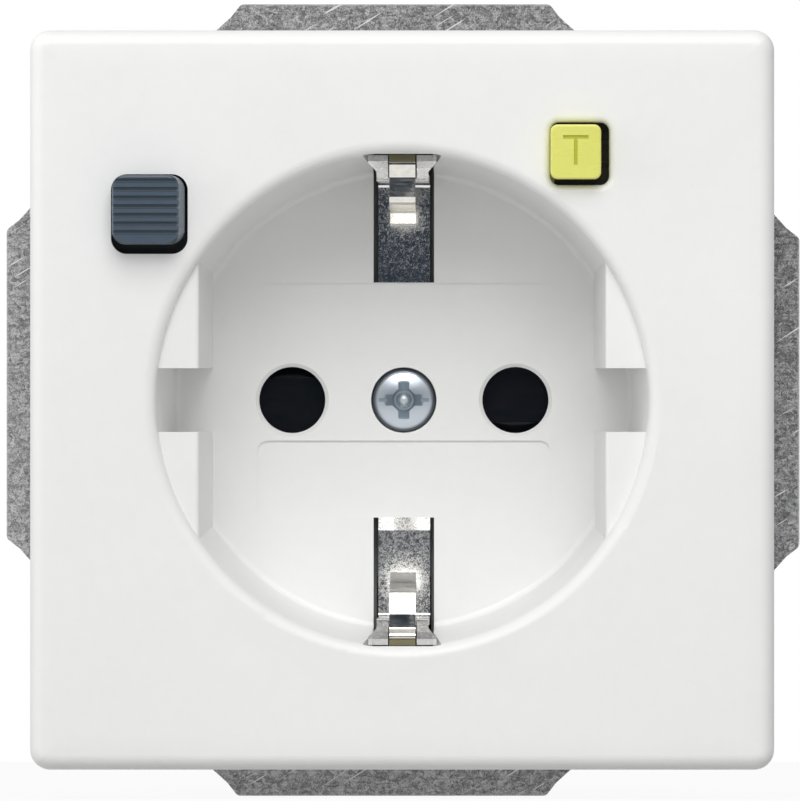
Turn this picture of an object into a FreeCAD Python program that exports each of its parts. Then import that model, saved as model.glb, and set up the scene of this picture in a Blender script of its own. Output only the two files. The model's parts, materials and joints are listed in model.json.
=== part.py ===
import FreeCAD, Part
import math
import os

# Residual current device socket. X runs right, Y runs into the wall and Z up.
# The origin is on the socket's axis, in the plane of the wall, which is the back of the support frame.
# All sizes are in millimetres.

V = FreeCAD.Vector
ALONG_X = V(1, 0, 0)
ALONG_Y = V(0, 1, 0)
ALONG_Z = V(0, 0, 1)
CUT_MARGIN = 1.0            # how far a cutting body runs past the face that it opens
BEND_SHARE = 0.48           # the most of a strip's straight run that the bend at one end takes up
SMALLEST_BEND = 0.05

# Support frame
frame_thickness = 1.2
frame_half_width = 29.5     # the square part that the plate hides
frame_corner = 4.0
tab_reach_x = 33.65         # how far the left and right tabs stand out from the axis
tab_reach_z = 33.6          # how far the top and bottom tabs stand out
tab_tip_half = 13.1         # half of a tab's outer edge
tab_neck_half = 13.95       # half width where the concave flank starts
tab_root_half = 15.4        # half width at the plate's edge
tab_neck_depth = 1.1        # from the outer edge to the neck
tab_root_depth = 2.4        # from the outer edge to the plate's edge
tab_foot_half = 18.4        # half width where the tab leaves the square
tab_foot_inset = 1.0        # from the square's edge to where the tab's flank starts
tab_round = 0.55
tab_shift_top = -0.65       # each tab sits a little off centre
tab_shift_bottom = -0.95
tab_shift_left = 1.35
tab_shift_right = 0.65
box_screw_spacing = 60.0
box_screw_hole = 1.5        # radius
level_slot_radius = 1.75
level_slot_angle = 7.0      # half of each curved levelling slot, in degrees
level_slot_ring = 27.6      # radius that the levelling slots lie on
frame_screw_room = 0.55     # between the screws' heads and the plug recess
frame_screw_angles = (22.0, 158.0, 202.0, 338.0)
frame_screw_radius = 1.1
frame_screw_head = 1.9
frame_screw_head_height = 1.0
frame_screw_length = 7.0
frame_screw_slot = 0.5
screw_hole_gap = 0.05       # between a screw's shank and its hole

# Centre plate
plate_width = 63.0
plate_height = 62.6
plate_corner = 1.7
plate_edge_round = 1.2
plate_standoff = 9.3        # from the frame's front to the plate's front
plate_thickness = 2.0
skirt_wall = 1.6
skirt_inner_corner = 0.1
skirt_gap = 0.3             # between the skirt and the frame
well_rim_radius = 20.85
well_rim_round = 1.1
well_floor_radius = 19.5
well_floor_round = 0.5
well_depth = 17.5
well_wall = 1.35
floor_thickness = 1.8
guide_rim_half = 17.2       # half distance between the guide blocks at their front
guide_floor_half = 16.25    # the same at the floor
guide_drop = 1.3            # from the plate's front to the blocks' front
guide_round = 0.35
guide_notch_width = 5.4
field_width = 24.9
field_depth = 0.22
field_corner = 0.9
field_gap = 0.63            # between the pin holes' edge and a field
field_height = 6.5
pin_spacing = 19.0
pin_hole_radius = 2.82
pin_hole_chamfer = 0.3
pin_reach = 19.0            # how far a plug's pins reach past the floor

# Contact windows at the top and bottom of the recess
window_width = 5.16
window_inner = 10.0         # from the axis to the window's inner end
window_outer = 21.4
window_lip = 0.5            # skin left in front of the window at the rim
window_flare = 0.75
window_flare_depth = 11.5
window_flare_start = 19.5
pad_half_width = 4.2        # thick wall around a window
pad_inner = 17.5
pad_outer = 22.4

# Cover screw
screw_opening_radius = 2.79
screw_opening_depth = 1.9
screw_head_gap = 0.09       # between the head and its opening
screw_head_height = 1.7
screw_head_dome = 0.36
screw_head_round = 0.4      # at the head's rim
screw_shank_radius = 1.5
screw_clearance = 0.15
screw_slot_width = 0.3
screw_slot_length = 4.3
screw_slot_depth = 0.4
screw_cross_width = 0.95
screw_cross_mouth = 1.78    # radius of the cross recess at the head's front
screw_cross_floor = 0.85
screw_cross_depth = 1.2
screw_star_half = 1.42      # half diagonal of the square in the middle of the cross
screw_pip_radius = 0.66     # raised pip on the recess floor
screw_pip_height = 0.45
boss_radius = 4.0

# Shutter
rotor_gap = 0.2             # between the floor and the rotor
rotor_thickness = 1.9
rotor_bore_gap = 0.06
rotor_hub_radius = 6.4
rotor_spring_room = 0.9
rotor_arm_half = 1.9
rotor_pad_inner = 6.0
rotor_pad_outer = 13.2
rotor_pad_half = 3.5
rotor_pad_corner = 0.8
rotor_pad_joint = 1.0       # how far the arm runs into a pad
rotor_ramp_drop = 1.0
rotor_ridge_height = -1.9   # where the ridge of the ramp lies, from the pad's middle
rotor_end_play = 0.15
washer_thickness = 0.3
washer_radius = 5.2
shutter_spring_wire = 0.5
shutter_spring_radius = 5.1
shutter_spring_angle = 300.0

# Earth bracket and its two springs
bracket_width = 4.4
bracket_thickness = 0.6
bracket_bend_half = 19.1    # from the axis to the arm's outer face
bracket_lean = 1.05         # how much further out the arm lies where its flare starts
bracket_lean_run = 1.1
bracket_flare = 0.6         # how much the flare adds to that
bracket_flare_run = 0.95
bracket_tip_gap = 0.25      # between the arm's wide tip and the window's side
bracket_notch_gap = 0.12    # between the notch in the arm's tip and the spring
bracket_notch_run = 1.5
bracket_front_gap = 3.4     # from the plate's front to the arm's front end
bracket_bend_round = 0.4
bracket_collar_radius = 2.4
bracket_collar_height = 1.35
spring_width = 2.2
spring_thickness = 0.4
spring_root_gap = 0.6       # between the arm's end and the leaf
spring_root_inset = 0.05    # how much nearer to the axis the leaf lies than the arm there
spring_hook_rise = 0.7      # the end that is hooked back over the arm
spring_hook_run = 0.8
spring_knee_run = 0.75      # how far the flat ledge lies behind the hook
spring_ledge_run = 0.1
spring_slope_run_top = 7.65     # from the ledge's end to the slope's end
spring_slope_run_bottom = 0.85
spring_knee_fall_top = 1.15     # how far each stretch falls towards the axis
spring_ledge_fall_top = 2.35
spring_slope_fall_top = 0.65
spring_crest_fall_top = 1.35
spring_knee_fall_bottom = 0.75
spring_ledge_fall_bottom = 1.25
spring_slope_fall_bottom = 1.95
spring_crest_fall_bottom = 1.55
spring_tail_rise = 1.6
spring_crest_depth = 12.0   # from the plate's front to the crest
spring_tail_run = 3.5
spring_bend_round = 0.3

# Reset and test buttons
reset_x = -21.39
reset_z = 15.74
reset_hole_width = 6.5
reset_hole_height = 6.75
reset_hole_corner = 1.35
reset_width = 6.17
reset_height = 5.87
reset_corner = 1.25
reset_shift_x = -0.085      # the button hangs at the upper left of its hole
reset_shift_z = 0.35
reset_face_width = 5.6
reset_face_height = 5.85
reset_face_corner = 1.0
reset_face_shift_x = -0.215
reset_face_shift_z = 0.02
reset_proud = 2.4
reset_travel = 2.5
reset_groove_pitch = 0.73
reset_groove_radius = 0.24
reset_groove_depth = 0.12
reset_groove_count = 7
reset_groove_shift = 0.25   # the grooves lie a little above the face's middle
test_x = 15.03
test_z = 20.84
test_hole_width = 4.97
test_hole_height = 5.28
test_hole_corner = 0.75
test_hole_round = 0.62
test_width = 4.2
test_height = 4.6
test_corner = 0.7
test_shift_x = -0.28        # the button leans to the upper left of its hole
test_shift_z = 0.18
test_face_width = 4.3
test_face_height = 4.65
test_face_corner = 0.6
test_face_shift_x = -0.04
test_face_shift_z = -0.02
test_proud = 1.5
test_travel = 1.2
test_mark_height = 2.5      # the letter T, a general sign for a test key
test_mark_width = 2.15
test_mark_stroke = 0.3
test_mark_depth = 0.12
test_mark_shift = 0.15      # how far the letter lies above the face's middle
button_edge_round = 0.2
button_sink = 0.15          # how far a button's collar lies behind the plate
collar_thickness = 1.1
collar_overlap = 0.45       # how far a collar reaches past the hole in the plate
collar_clear = 0.25         # between a collar and the recess wall
stem_ring = 24.2            # radius that both stems lie on
stem_radius = 1.2
stem_gap = 0.06
tower_wall = 0.75
reset_stem_past = 3.95      # how far the reset stem stands out behind the carrier
test_stem_past = 1.95
button_shoulder_share = 0.45    # of a head's height, where its straight part starts
button_spring_inner = 1.45
button_spring_outer = 1.95
spring_seat_gap = 0.05
stem_notch_gap = 0.45       # between a button spring and the frame

# Front carrier
insert_radius = 27.6
insert_wall = 1.5
carrier_well_gap = 0.35
carrier_seat = 0.2          # how deep the carrier sits in the frame's back
carrier_seat_gap = 0.1
carrier_inner_wall = 1.0
carrier_floor = 1.5
carrier_pad_gap = 0.3
carrier_boss = 2.2
pin_pass_gap = 0.4

# Rear housing
housing_clearance = 0.5     # behind the deepest part inside
housing_round = 0.8
wall_joint = 0.5            # how far ribs and posts run into the wall that they stand on
housing_flat = 21.5         # from the axis to the flat with the wire entries
pillar_radius = 2.1
housing_screw_places = ((-8.4, 23.1), (8.4, 23.1), (-18.6, -16.1), (18.6, -16.1))
housing_screw_radius = 1.1
housing_screw_head = 1.9
housing_screw_head_height = 1.3
housing_screw_grip = 5.5    # how far the screws reach into the carrier
housing_rib_width = 1.0
housing_rib_height = 0.6
housing_rib_count = 6
housing_rib_pitch = 3.2
housing_rib_inset = 2.0     # from the housing's inside to the ribs' circle
housing_rib_share = 0.75    # of that circle's width that a rib covers
housing_screw_sink = 0.1
housing_cross_length = 2.4
housing_cross_width = 0.6
housing_cross_depth = 0.6
post_radius = 1.6
post_x = 21.0
post_z = 6.0

# Pin contacts
clip_base_thickness = 0.8
clip_base_half_x = 3.4
clip_base_half_z = 5.5
clip_leaf = 0.7
clip_leaf_half_x = 2.5
clip_root = 3.1             # inner face of a leaf at its root, from the pin's axis
clip_pinch = 2.3
clip_mouth = 2.9
clip_bend = 1.0
clip_past_pin = 1.0
clip_root_run = 3.0         # straight part of a leaf behind the carrier
clip_pinch_start = 8.0      # from a plug pin's tip back to where a leaf starts to press
clip_pinch_end = 4.0
tail_width = 4.0
contact_plate = 0.8
contact_height = 9.5        # of the switching contacts above the axis
contact_half = 1.5          # half of a contact plate
stud_radius = 1.1
closed_gap = 0.05           # left between the contacts when the reset button is pressed
live_contacts_x = (-11.5, -6.8)
neutral_contacts_x = (-2.4, 2.4)
contact_foot = 5.0          # lower end of the supply contact plates

# Contact base and bridge
base_thickness = 1.5
base_left = -19.0
base_right = 13.4
base_low = 2.0
base_high = 17.0
base_foot_radius = 1.2
base_foot_places = ((-16.0, 4.5), (-16.0, 15.0), (11.5, 4.5), (11.5, 15.0))
guide_post_x = -16.5
guide_post_z = 11.5
guide_post_radius = 1.2
guide_post_past = 1.65      # how far the post stands out in front of the bridge
bridge_front_gap = 0.05
bridge_thickness = 2.5
bridge_low = 7.6
bridge_high = 13.0
bridge_right = 3.6
bridge_socket = 1.6
bridge_post_half = 2.4      # from the guide post's axis to the bridge's sides
bridge_link_half = 1.2
bridge_link_foot = 1.5
tooth_reach = 1.0
tooth_height = 2.2
blade_gap = 2.0             # from the bridge to the blades
blade_thickness = 0.6
blade_half_z = 1.3
blade_past_stud = 1.3
rivet_height = 0.2
blade_post_radius = 0.7
blade_post_gap = 0.08
blade_post_past = 0.3
blade_spring_outer = 1.3
bridge_spring_inner = 1.5
bridge_spring_outer = 2.1

# Trip relay and latch
relay_setback = 7.0         # from the contacts' rear end to the relay's axis
relay_z = 11.5
relay_left = 8.0
relay_length = 10.0
relay_half_z = 4.0
relay_reach = 5.1           # from the relay's axis to the front of its yoke
yoke_plate = 1.0
yoke_back_gap = 0.8         # between the bobbin and the yoke's back
bobbin_flange = 4.2
bobbin_flange_thickness = 0.6
bobbin_tube = 0.6
coil_outer = 3.9
coil_gap = 0.05
plunger_radius = 1.25
plunger_gap = 0.07
plunger_end = 13.5
plunger_nose = 7.2
plunger_neck_radius = 0.6
plunger_disc_radius = 1.15
plunger_disc_left = 4.3
plunger_disc_thickness = 0.5
plunger_spring_inner = 0.6
plunger_spring_outer = 1.1
relay_core_left = 15.8
pivot_x = 5.6
lever_arm = 4.5             # from the relay's axis to the latch's pin
pivot_radius = 0.6
pivot_gap = 0.06
lever_half = 0.5
lever_past = 1.3            # how far the latch reaches past the relay's axis
lever_boss = 1.1
lever_fork_half = 0.8
lever_fork_depth = 2.5
ear_thickness = 0.7
ear_half = 1.2
ear_gap = 0.2

# Summation transformer
core_z = -11.0
core_inner = 4.1
core_outer = 6.3
core_length = 6.0
winding_inner = 3.4
winding_outer = 7.0
winding_cover = 0.6
winding_gap = 0.05
cradle_wall = 0.8
cradle_gap = 0.1
cradle_seat = 0.9
cradle_seat_inner = 5.6
cradle_reach = 4.0
cradle_slot_half = 3.6

# Leads
lead_radius = 0.8
lead_bend = 1.6
lead_side = 1.5             # half spacing of the two leads inside the transformer
lead_bend_room = 2.15       # from the carrier to the leads' line
winding_past_lead = 1.8     # from the leads' line to the winding
lead_past_winding = 1.7
lead_start = 1.2            # from the leads' line to the terminals
lead_block_x = 8.6
lead_front_step = 1.0
lead_drop = 2.0
lead_end_run = 3.5
lead_block_inset = 0.3      # from a terminal's upper face to the lead
lead_rise = 5.9

# Circuit board and what it carries
board_gap = 1.2             # from the contact base to the board
board_thickness = 1.2
board_radius = 25.6
board_low = -8.0
board_hole_gap = 0.3
capacitor_radius = 1.9
capacitor_length = 8.0
capacitor_round = 0.3
capacitor_place = (-8.0, 8.0)
varistor_radius = 3.2
varistor_thickness = 3.4
varistor_round = 0.8
varistor_place = (5.0, -1.5)
chip_width = 6.0
chip_height = 4.0
chip_thickness = 1.8
chip_place = (12.0, 11.0)
resistor_radius = 1.1
resistor_length = 6.5
resistor_cap = 0.15
resistor_cap_length = 1.2
resistor_place = (4.0, 17.0)

# Test contacts
leaf_thickness = 0.3
leaf_low = 17.4
leaf_high = 20.4
leaf_left = 1.7
leaf_right = 15.5
leaf_stem_gap = 0.1
leaf_round = 1.2
leaf_post_right = 1.5
leaf_post_width = 2.0
leaf_post_rise = 0.4        # how far the post stands in front of the stem's end
test_contact_left = 9.0
test_contact_width = 2.0
test_contact_gap = 0.05      # left when the test button is pressed
test_contact_foot = 0.8

# Terminals
terminal_spacing = 11.0
terminal_half_x = 3.5
terminal_depth = 7.0
terminal_height = 8.0
terminal_pad_height = 1.0   # the housing's pad behind a terminal
terminal_pad_side = 0.7
wire_bore = 1.5
wire_bore_floor = 1.0
wire_bore_back = 2.5        # from the block's front to the wire's axis
terminal_screw_radius = 1.6
terminal_screw_head = 2.6
terminal_screw_head_height = 1.7
terminal_screw_slot = 0.8
terminal_screw_slot_depth = 0.9
terminal_screw_gap = 0.1
terminal_access_gap = 0.3
strap_width = 4.0
strap_thickness = 0.8
strap_foot = 4.6
strap_gap = 0.1
strap_pass_gap = 0.3

# Sizes that follow from those above, first across and then along Y
frame_screw_ring = well_rim_radius + well_wall + frame_screw_room + frame_screw_head
screw_head_radius = screw_opening_radius - screw_head_gap
frame_front = -frame_thickness
plate_front = frame_front - plate_standoff
plate_back = plate_front + plate_thickness
skirt_back = frame_front - skirt_gap
floor_front = plate_front + well_depth
floor_back = floor_front + floor_thickness
rotor_front = floor_back + rotor_gap
rotor_back = rotor_front + rotor_thickness
boss_back = rotor_back + rotor_end_play
bracket_front = boss_back + washer_thickness
bracket_back = bracket_front + bracket_thickness
carrier_front = -carrier_seat
carrier_back = bracket_back + carrier_floor
stem_back = carrier_back + reset_stem_past
test_stem_back = carrier_back + test_stem_past
clip_end = floor_front + pin_reach + clip_past_pin
base_front = clip_end + contact_plate
base_back = base_front + base_thickness
board_front = base_back + board_gap
board_back = board_front + board_thickness
lead_front = carrier_back + lead_bend_room
winding_front = lead_front + winding_past_lead
winding_back = winding_front + core_length + 2 * winding_cover
lead_back = winding_back + lead_past_winding
terminal_front = lead_back + lead_start
terminal_back = terminal_front + terminal_depth
tallest_back = max(board_back + 2 * capacitor_radius, terminal_back + terminal_pad_height)
housing_inner_back = tallest_back + housing_clearance
housing_depth = housing_inner_back + insert_wall
inner_radius = insert_radius - insert_wall
flat_inside = housing_flat - insert_wall
bridge_front = stem_back + bridge_front_gap
bridge_back = bridge_front + bridge_thickness
blade_front = bridge_back + blade_gap
guide_post_front = bridge_front - guide_post_past
relay_y = clip_end - relay_setback
relay_back = relay_y + bobbin_flange + yoke_back_gap + yoke_plate
pivot_y = relay_y + lever_arm
arm_front = plate_front + bracket_front_gap
window_flare_front = plate_front + well_rim_round / 2
window_flare_share = 1 - (arm_front - window_flare_front) / window_flare_depth
bracket_tip_half = window_width / 2 + window_flare * window_flare_share - bracket_tip_gap
collar_front = plate_back + button_sink
collar_back = collar_front + collar_thickness


def box(x0, x1, y0, y1, z0, z1):
    return Part.makeBox(x1 - x0, y1 - y0, z1 - z0, V(x0, y0, z0))


def rod_y(x, z, radius, y0, y1):
    return Part.makeCylinder(radius, y1 - y0, V(x, y0, z), ALONG_Y)


def rod_x(y, z, radius, x0, x1):
    return Part.makeCylinder(radius, x1 - x0, V(x0, y, z), ALONG_X)


def rod_z(x, y, radius, z0, z1):
    return Part.makeCylinder(radius, z1 - z0, V(x, y, z0), ALONG_Z)


def sleeve_y(x, z, inner, outer, y0, y1):
    return rod_y(x, z, outer, y0, y1).cut(rod_y(x, z, inner, y0, y1))


def fuse(shapes):
    whole = shapes[0].fuse(shapes[1:]) if len(shapes) > 1 else shapes[0]
    return whole.removeSplitter()


def polygon_y(points, y0, y1):
    corners = [V(x, y0, z) for x, z in points]
    return Part.Face(Part.makePolygon(corners + corners[:1])).extrude(V(0, y1 - y0, 0))


def polygon_z(points, z0, z1):
    corners = [V(x, y, z0) for x, y in points]
    return Part.Face(Part.makePolygon(corners + corners[:1])).extrude(V(0, 0, z1 - z0))


def rounded_wire_y(x, z, width, height, corner, y):
    half_w, half_h = width / 2, height / 2
    reach = corner * (1 - math.sqrt(0.5))
    edges = []
    for turn in range(4):
        along, across = (half_w, half_h) if turn % 2 == 0 else (half_h, half_w)
        spin = FreeCAD.Rotation(ALONG_Y, -90 * turn)
        start = spin.multVec(V(-along + corner, 0, -across))
        end = spin.multVec(V(along - corner, 0, -across))
        middle = spin.multVec(V(along - reach, 0, -across + reach))
        last = spin.multVec(V(along, 0, -across + corner))
        place = V(x, y, z)
        edges.append(Part.LineSegment(start + place, end + place).toShape())
        edges.append(Part.Arc(end + place, middle + place, last + place).toShape())
    return Part.Wire(edges)


def rounded_block_y(x, z, width, height, corner, y0, y1):
    return Part.Face(rounded_wire_y(x, z, width, height, corner, y0)).extrude(V(0, y1 - y0, 0))


def revolved_y(edges):
    return Part.Face(Part.Wire(edges)).revolve(V(0, 0, 0), ALONG_Y, 360)


def profile_edges(points):
    corners = [V(r, y, 0) for r, y in points]
    return [Part.LineSegment(a, b).toShape() for a, b in zip(corners, corners[1:])]


def fillet_near(shape, radius, wanted):
    edges = [e for e in shape.Edges if wanted(e)]
    return shape.makeFillet(radius, edges)


# The points are (y, z) places along one face of the strip. The other face lies to their left.
def bent_strip_x(points, thickness, half_width, bend_round, centre_x=0.0):
    flat = [V(0, y, z) for y, z in points]
    ways = [(b - a).normalize() for a, b in zip(flat, flat[1:])]
    sides = [V(0, -w.z, w.y) for w in ways]
    other = [flat[0] + sides[0] * thickness]
    for place, one, two in zip(flat[1:], sides, sides[1:]):
        other.append(place + (one + two) * (thickness / (1 + one.dot(two))))
    other.append(flat[-1] + sides[-1] * thickness)
    outline = flat + other[::-1]
    shift = V(centre_x - half_width, 0, 0)
    face = Part.Face(Part.makePolygon([p + shift for p in outline + outline[:1]]))
    strip = face.extrude(V(2 * half_width, 0, 0))
    lengths = [a.distanceToPoint(b) for a, b in zip(flat, flat[1:])]
    for number, (place, far, one, two) in enumerate(zip(flat[1:-1], other[1:-1], ways, ways[1:])):
        turns_left = one.y * two.z - one.z * two.y > 0
        inner, outer = (far, place) if turns_left else (place, far)
        room = BEND_SHARE * min(lengths[number:number + 2]) / math.tan(one.getAngle(two) / 2)
        outer_round = min(bend_round + thickness, room)
        for corner, radius in ((inner, max(outer_round - thickness, SMALLEST_BEND)),
                               (outer, outer_round)):
            strip = fillet_near(strip, radius, lambda e: is_across(e, corner))
    return strip


def is_across(edge, corner):
    middle = edge.CenterOfMass
    flat_distance = math.hypot(middle.y - corner.y, middle.z - corner.z)
    along_x = abs(edge.BoundBox.XLength - edge.Length) < 1e-6
    return flat_distance < 1e-4 and along_x


def tube_along(points, radius, bend):
    places = [V(*p) for p in points]
    edges = []
    start = places[0]
    for here, after in zip(places[1:-1], places[2:]):
        way_in = (here - start).normalize()
        way_out = (after - here).normalize()
        turn = way_in.getAngle(way_out)
        back = bend * math.tan(turn / 2)
        first = here - way_in * back
        last = here + way_out * back
        inward = (way_out - way_in).normalize()
        middle = here + inward * (bend / math.cos(turn / 2) - bend)
        edges.append(Part.LineSegment(start, first).toShape())
        edges.append(Part.Arc(first, middle, last).toShape())
        start = last
    edges.append(Part.LineSegment(start, places[-1]).toShape())
    path = Part.Wire(edges)
    ring = Part.Wire(Part.makeCircle(radius, places[0], (places[1] - places[0]).normalize()))
    return path.makePipeShell([ring], True, False)


def on_ring(radius, angle_deg):
    angle = math.radians(angle_deg)
    return radius * math.cos(angle), radius * math.sin(angle)


def stem_place(x, z):
    return on_ring(stem_ring, math.degrees(math.atan2(z, x)))


reset_stem_x, reset_stem_z = stem_place(reset_x, reset_z)
test_stem_x, test_stem_z = stem_place(test_x, test_z)


def well_radius(y):
    run = floor_front - plate_front - well_rim_round
    share = (floor_front - y) / run
    return well_floor_radius + (well_rim_radius - well_floor_radius) * share


# Centre plate with the plug recess

def well_cavity():
    rim_back = plate_front + well_rim_round
    round_start = V(well_rim_radius + well_rim_round, plate_front, 0)
    half = well_rim_round * math.sqrt(0.5)
    round_middle = V(round_start.x - half, rim_back - half, 0)
    round_end = V(well_rim_radius, rim_back, 0)
    wall_end = V(well_radius(floor_front - well_floor_round), floor_front - well_floor_round, 0)
    floor_start = V(well_floor_radius - well_floor_round, floor_front, 0)
    bulge = well_floor_round * (1 - math.sqrt(0.5))
    floor_middle = V(well_floor_radius - bulge, floor_front - bulge, 0)
    top = V(0, plate_front - CUT_MARGIN, 0)
    edges = [
        Part.LineSegment(top, V(round_start.x, top.y, 0)).toShape(),
        Part.LineSegment(V(round_start.x, top.y, 0), round_start).toShape(),
        Part.Arc(round_start, round_middle, round_end).toShape(),
        Part.LineSegment(round_end, wall_end).toShape(),
        Part.Arc(wall_end, floor_middle, floor_start).toShape(),
        Part.LineSegment(floor_start, V(0, floor_front, 0)).toShape(),
        Part.LineSegment(V(0, floor_front, 0), top).toShape(),
    ]
    cavity = revolved_y(edges)
    for side in (-1, 1):
        cavity = cavity.cut(guide_block(side))
    return cavity


def guide_block(side):
    block_front = plate_front + guide_drop
    far = well_rim_radius + well_wall
    bulge = guide_round * (1 - math.sqrt(0.5))
    floor_past = floor_front + CUT_MARGIN
    places = [
        V(side * far, block_front, 0),
        V(side * (guide_rim_half + guide_round), block_front, 0),
        V(side * (guide_rim_half + bulge), block_front + bulge, 0),
        V(side * guide_rim_half, block_front + guide_round, 0),
        V(side * guide_floor_half, floor_front, 0),
        V(side * guide_floor_half, floor_past, 0),
        V(side * far, floor_past, 0),
    ]
    edges = [
        Part.LineSegment(places[0], places[1]).toShape(),
        Part.Arc(places[1], places[2], places[3]).toShape(),
    ]
    for a, b in zip(places[3:], places[4:] + places[:1]):
        edges.append(Part.LineSegment(a, b).toShape())
    face = Part.Face(Part.Wire(edges))
    face.translate(V(0, 0, -well_rim_radius))
    block = face.extrude(V(0, 0, 2 * well_rim_radius))
    notch_half = guide_notch_width / 2
    notch = box(-far, far, block_front - CUT_MARGIN, floor_past, -notch_half, notch_half)
    return block.cut(notch)


def well_shell():
    outer = profile_edges([
        (0, plate_back),
        (well_radius(plate_back) + well_wall, plate_back),
        (well_floor_radius + well_wall, floor_back),
        (0, floor_back),
        (0, plate_back),
    ])
    shell = [revolved_y(outer), rod_y(0, 0, boss_radius, floor_back, boss_back)]
    for side in (-1, 1):
        low, high = sorted((side * pad_inner, side * pad_outer))
        shell.append(box(-pad_half_width, pad_half_width, plate_back, floor_back, low, high))
    return fuse(shell)


def plate_shell():
    slab = rounded_block_y(0, 0, plate_width, plate_height, plate_corner, plate_front, skirt_back)
    slab = fillet_near(slab, plate_edge_round,
                       lambda e: e.BoundBox.YMax < plate_front + 1e-6)
    hollow_corner = max(plate_corner - skirt_wall, skirt_inner_corner)
    hollow = rounded_block_y(0, 0, plate_width - 2 * skirt_wall, plate_height - 2 * skirt_wall,
                             hollow_corner, plate_back, skirt_back + CUT_MARGIN)
    return slab.cut(hollow)


def window_cutter(side):
    low, high = sorted((side * window_inner, side * window_outer))
    half = window_width / 2
    rim_back = plate_front + well_rim_round
    slot = box(-half, half, rim_back + window_lip, floor_back + CUT_MARGIN, low, high)
    flare_front, flare_back = window_flare_front, window_flare_front + window_flare_depth
    flare_low, flare_high = sorted((side * window_flare_start, side * well_rim_radius))
    flare = polygon_z([(-half - window_flare, flare_front), (half + window_flare, flare_front),
                       (half, flare_back), (-half, flare_back)], flare_low, flare_high)
    return slot.fuse(flare)


def pin_hole_cutter(side):
    x = side * pin_spacing / 2
    hole = rod_y(x, 0, pin_hole_radius, floor_front - CUT_MARGIN, floor_back + CUT_MARGIN)
    chamfer = Part.makeCone(pin_hole_radius + pin_hole_chamfer, pin_hole_radius,
                            pin_hole_chamfer, V(x, floor_front, 0), ALONG_Y)
    return hole.fuse(chamfer)


def field_cutter(side):
    middle = side * (pin_hole_radius + field_gap + field_height / 2)
    return rounded_block_y(0, middle, field_width, field_height, field_corner,
                           floor_front - CUT_MARGIN, floor_front + field_depth)


def button_hole_cutters():
    back = plate_back + CUT_MARGIN
    reset = rounded_block_y(reset_x, reset_z, reset_hole_width, reset_hole_height,
                            reset_hole_corner, plate_front - CUT_MARGIN, back)
    test = rounded_block_y(test_x, test_z, test_hole_width, test_hole_height, test_hole_corner,
                           plate_front - CUT_MARGIN, back)
    return reset, test


def centre_plate():
    body = fuse([plate_shell(), well_shell()])
    body = body.cut(well_cavity())
    cutters = [window_cutter(1), window_cutter(-1), pin_hole_cutter(1), pin_hole_cutter(-1),
               field_cutter(1), field_cutter(-1)]
    opening_back = floor_front + screw_opening_depth
    cutters.append(rod_y(0, 0, screw_opening_radius, floor_front - CUT_MARGIN, opening_back))
    cutters.append(rod_y(0, 0, screw_shank_radius + screw_clearance,
                         floor_front, boss_back + CUT_MARGIN))
    reset_hole, test_hole = button_hole_cutters()
    cutters.append(reset_hole)
    body = body.cut(cutters)
    body = body.cut(test_hole)
    return round_test_hole(body)


def round_test_hole(body):
    reach_x = test_hole_width / 2 + 1e-3
    reach_z = test_hole_height / 2 + 1e-3

    def on_hole_rim(edge):
        b = edge.BoundBox
        inside_x = b.XMin > test_x - reach_x and b.XMax < test_x + reach_x
        inside_z = b.ZMin > test_z - reach_z and b.ZMax < test_z + reach_z
        return b.YMax < plate_front + 1e-4 and inside_x and inside_z

    return fillet_near(body, test_hole_round, on_hole_rim)


def cover_screw():
    head_back = floor_front + screw_opening_depth
    head_front = head_back - screw_head_height
    radius = screw_head_radius
    shoulder = radius - screw_head_round
    bulge = screw_head_round * (1 - math.sqrt(0.5))
    dome_back = head_front + screw_head_dome
    top = V(0, head_front, 0)
    dome_middle = V(shoulder / 2, head_front + screw_head_dome / 4, 0)
    dome_end = V(shoulder, dome_back, 0)
    round_middle = V(radius - bulge, dome_back + bulge, 0)
    side_front = V(radius, dome_back + screw_head_round, 0)
    side_back = V(radius, head_back, 0)
    middle_back = V(0, head_back, 0)
    head = revolved_y([
        Part.Arc(top, dome_middle, dome_end).toShape(),
        Part.Arc(dome_end, round_middle, side_front).toShape(),
        Part.LineSegment(side_front, side_back).toShape(),
        Part.LineSegment(side_back, middle_back).toShape(),
        Part.LineSegment(middle_back, top).toShape(),
    ])
    shank_back = bracket_back + bracket_collar_height - screw_hole_gap
    screw = head.fuse(rod_y(0, 0, screw_shank_radius, head_back, shank_back))
    return screw.cut(screw_recess(head_front))


def screw_recess(head_front):
    front = head_front - CUT_MARGIN
    cross_back = head_front + screw_cross_depth
    slot_half, cross_half = screw_slot_width / 2, screw_cross_width / 2
    reach, length = screw_cross_mouth, screw_slot_length / 2
    cross = fuse([
        box(-cross_half, cross_half, front, cross_back, -reach, reach),
        box(-reach, reach, front, cross_back, -cross_half, cross_half),
        polygon_y([(-screw_star_half, 0), (0, screw_star_half), (screw_star_half, 0),
                   (0, -screw_star_half)], front, cross_back),
    ])
    cone = Part.makeCone(screw_cross_mouth, screw_cross_floor, screw_cross_depth,
                         V(0, head_front, 0), ALONG_Y)
    cone = cone.fuse(rod_y(0, 0, screw_cross_mouth, front, head_front))
    slot = box(-length, length, front, head_front + screw_slot_depth, -slot_half, slot_half)
    pip_front = cross_back - screw_pip_height
    ball_radius = (screw_pip_radius ** 2 + screw_pip_height ** 2) / (2 * screw_pip_height)
    pip = Part.makeSphere(ball_radius, V(0, pip_front + ball_radius, 0))
    return [cross.common(cone).cut(pip), slot]


# Buttons

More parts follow.
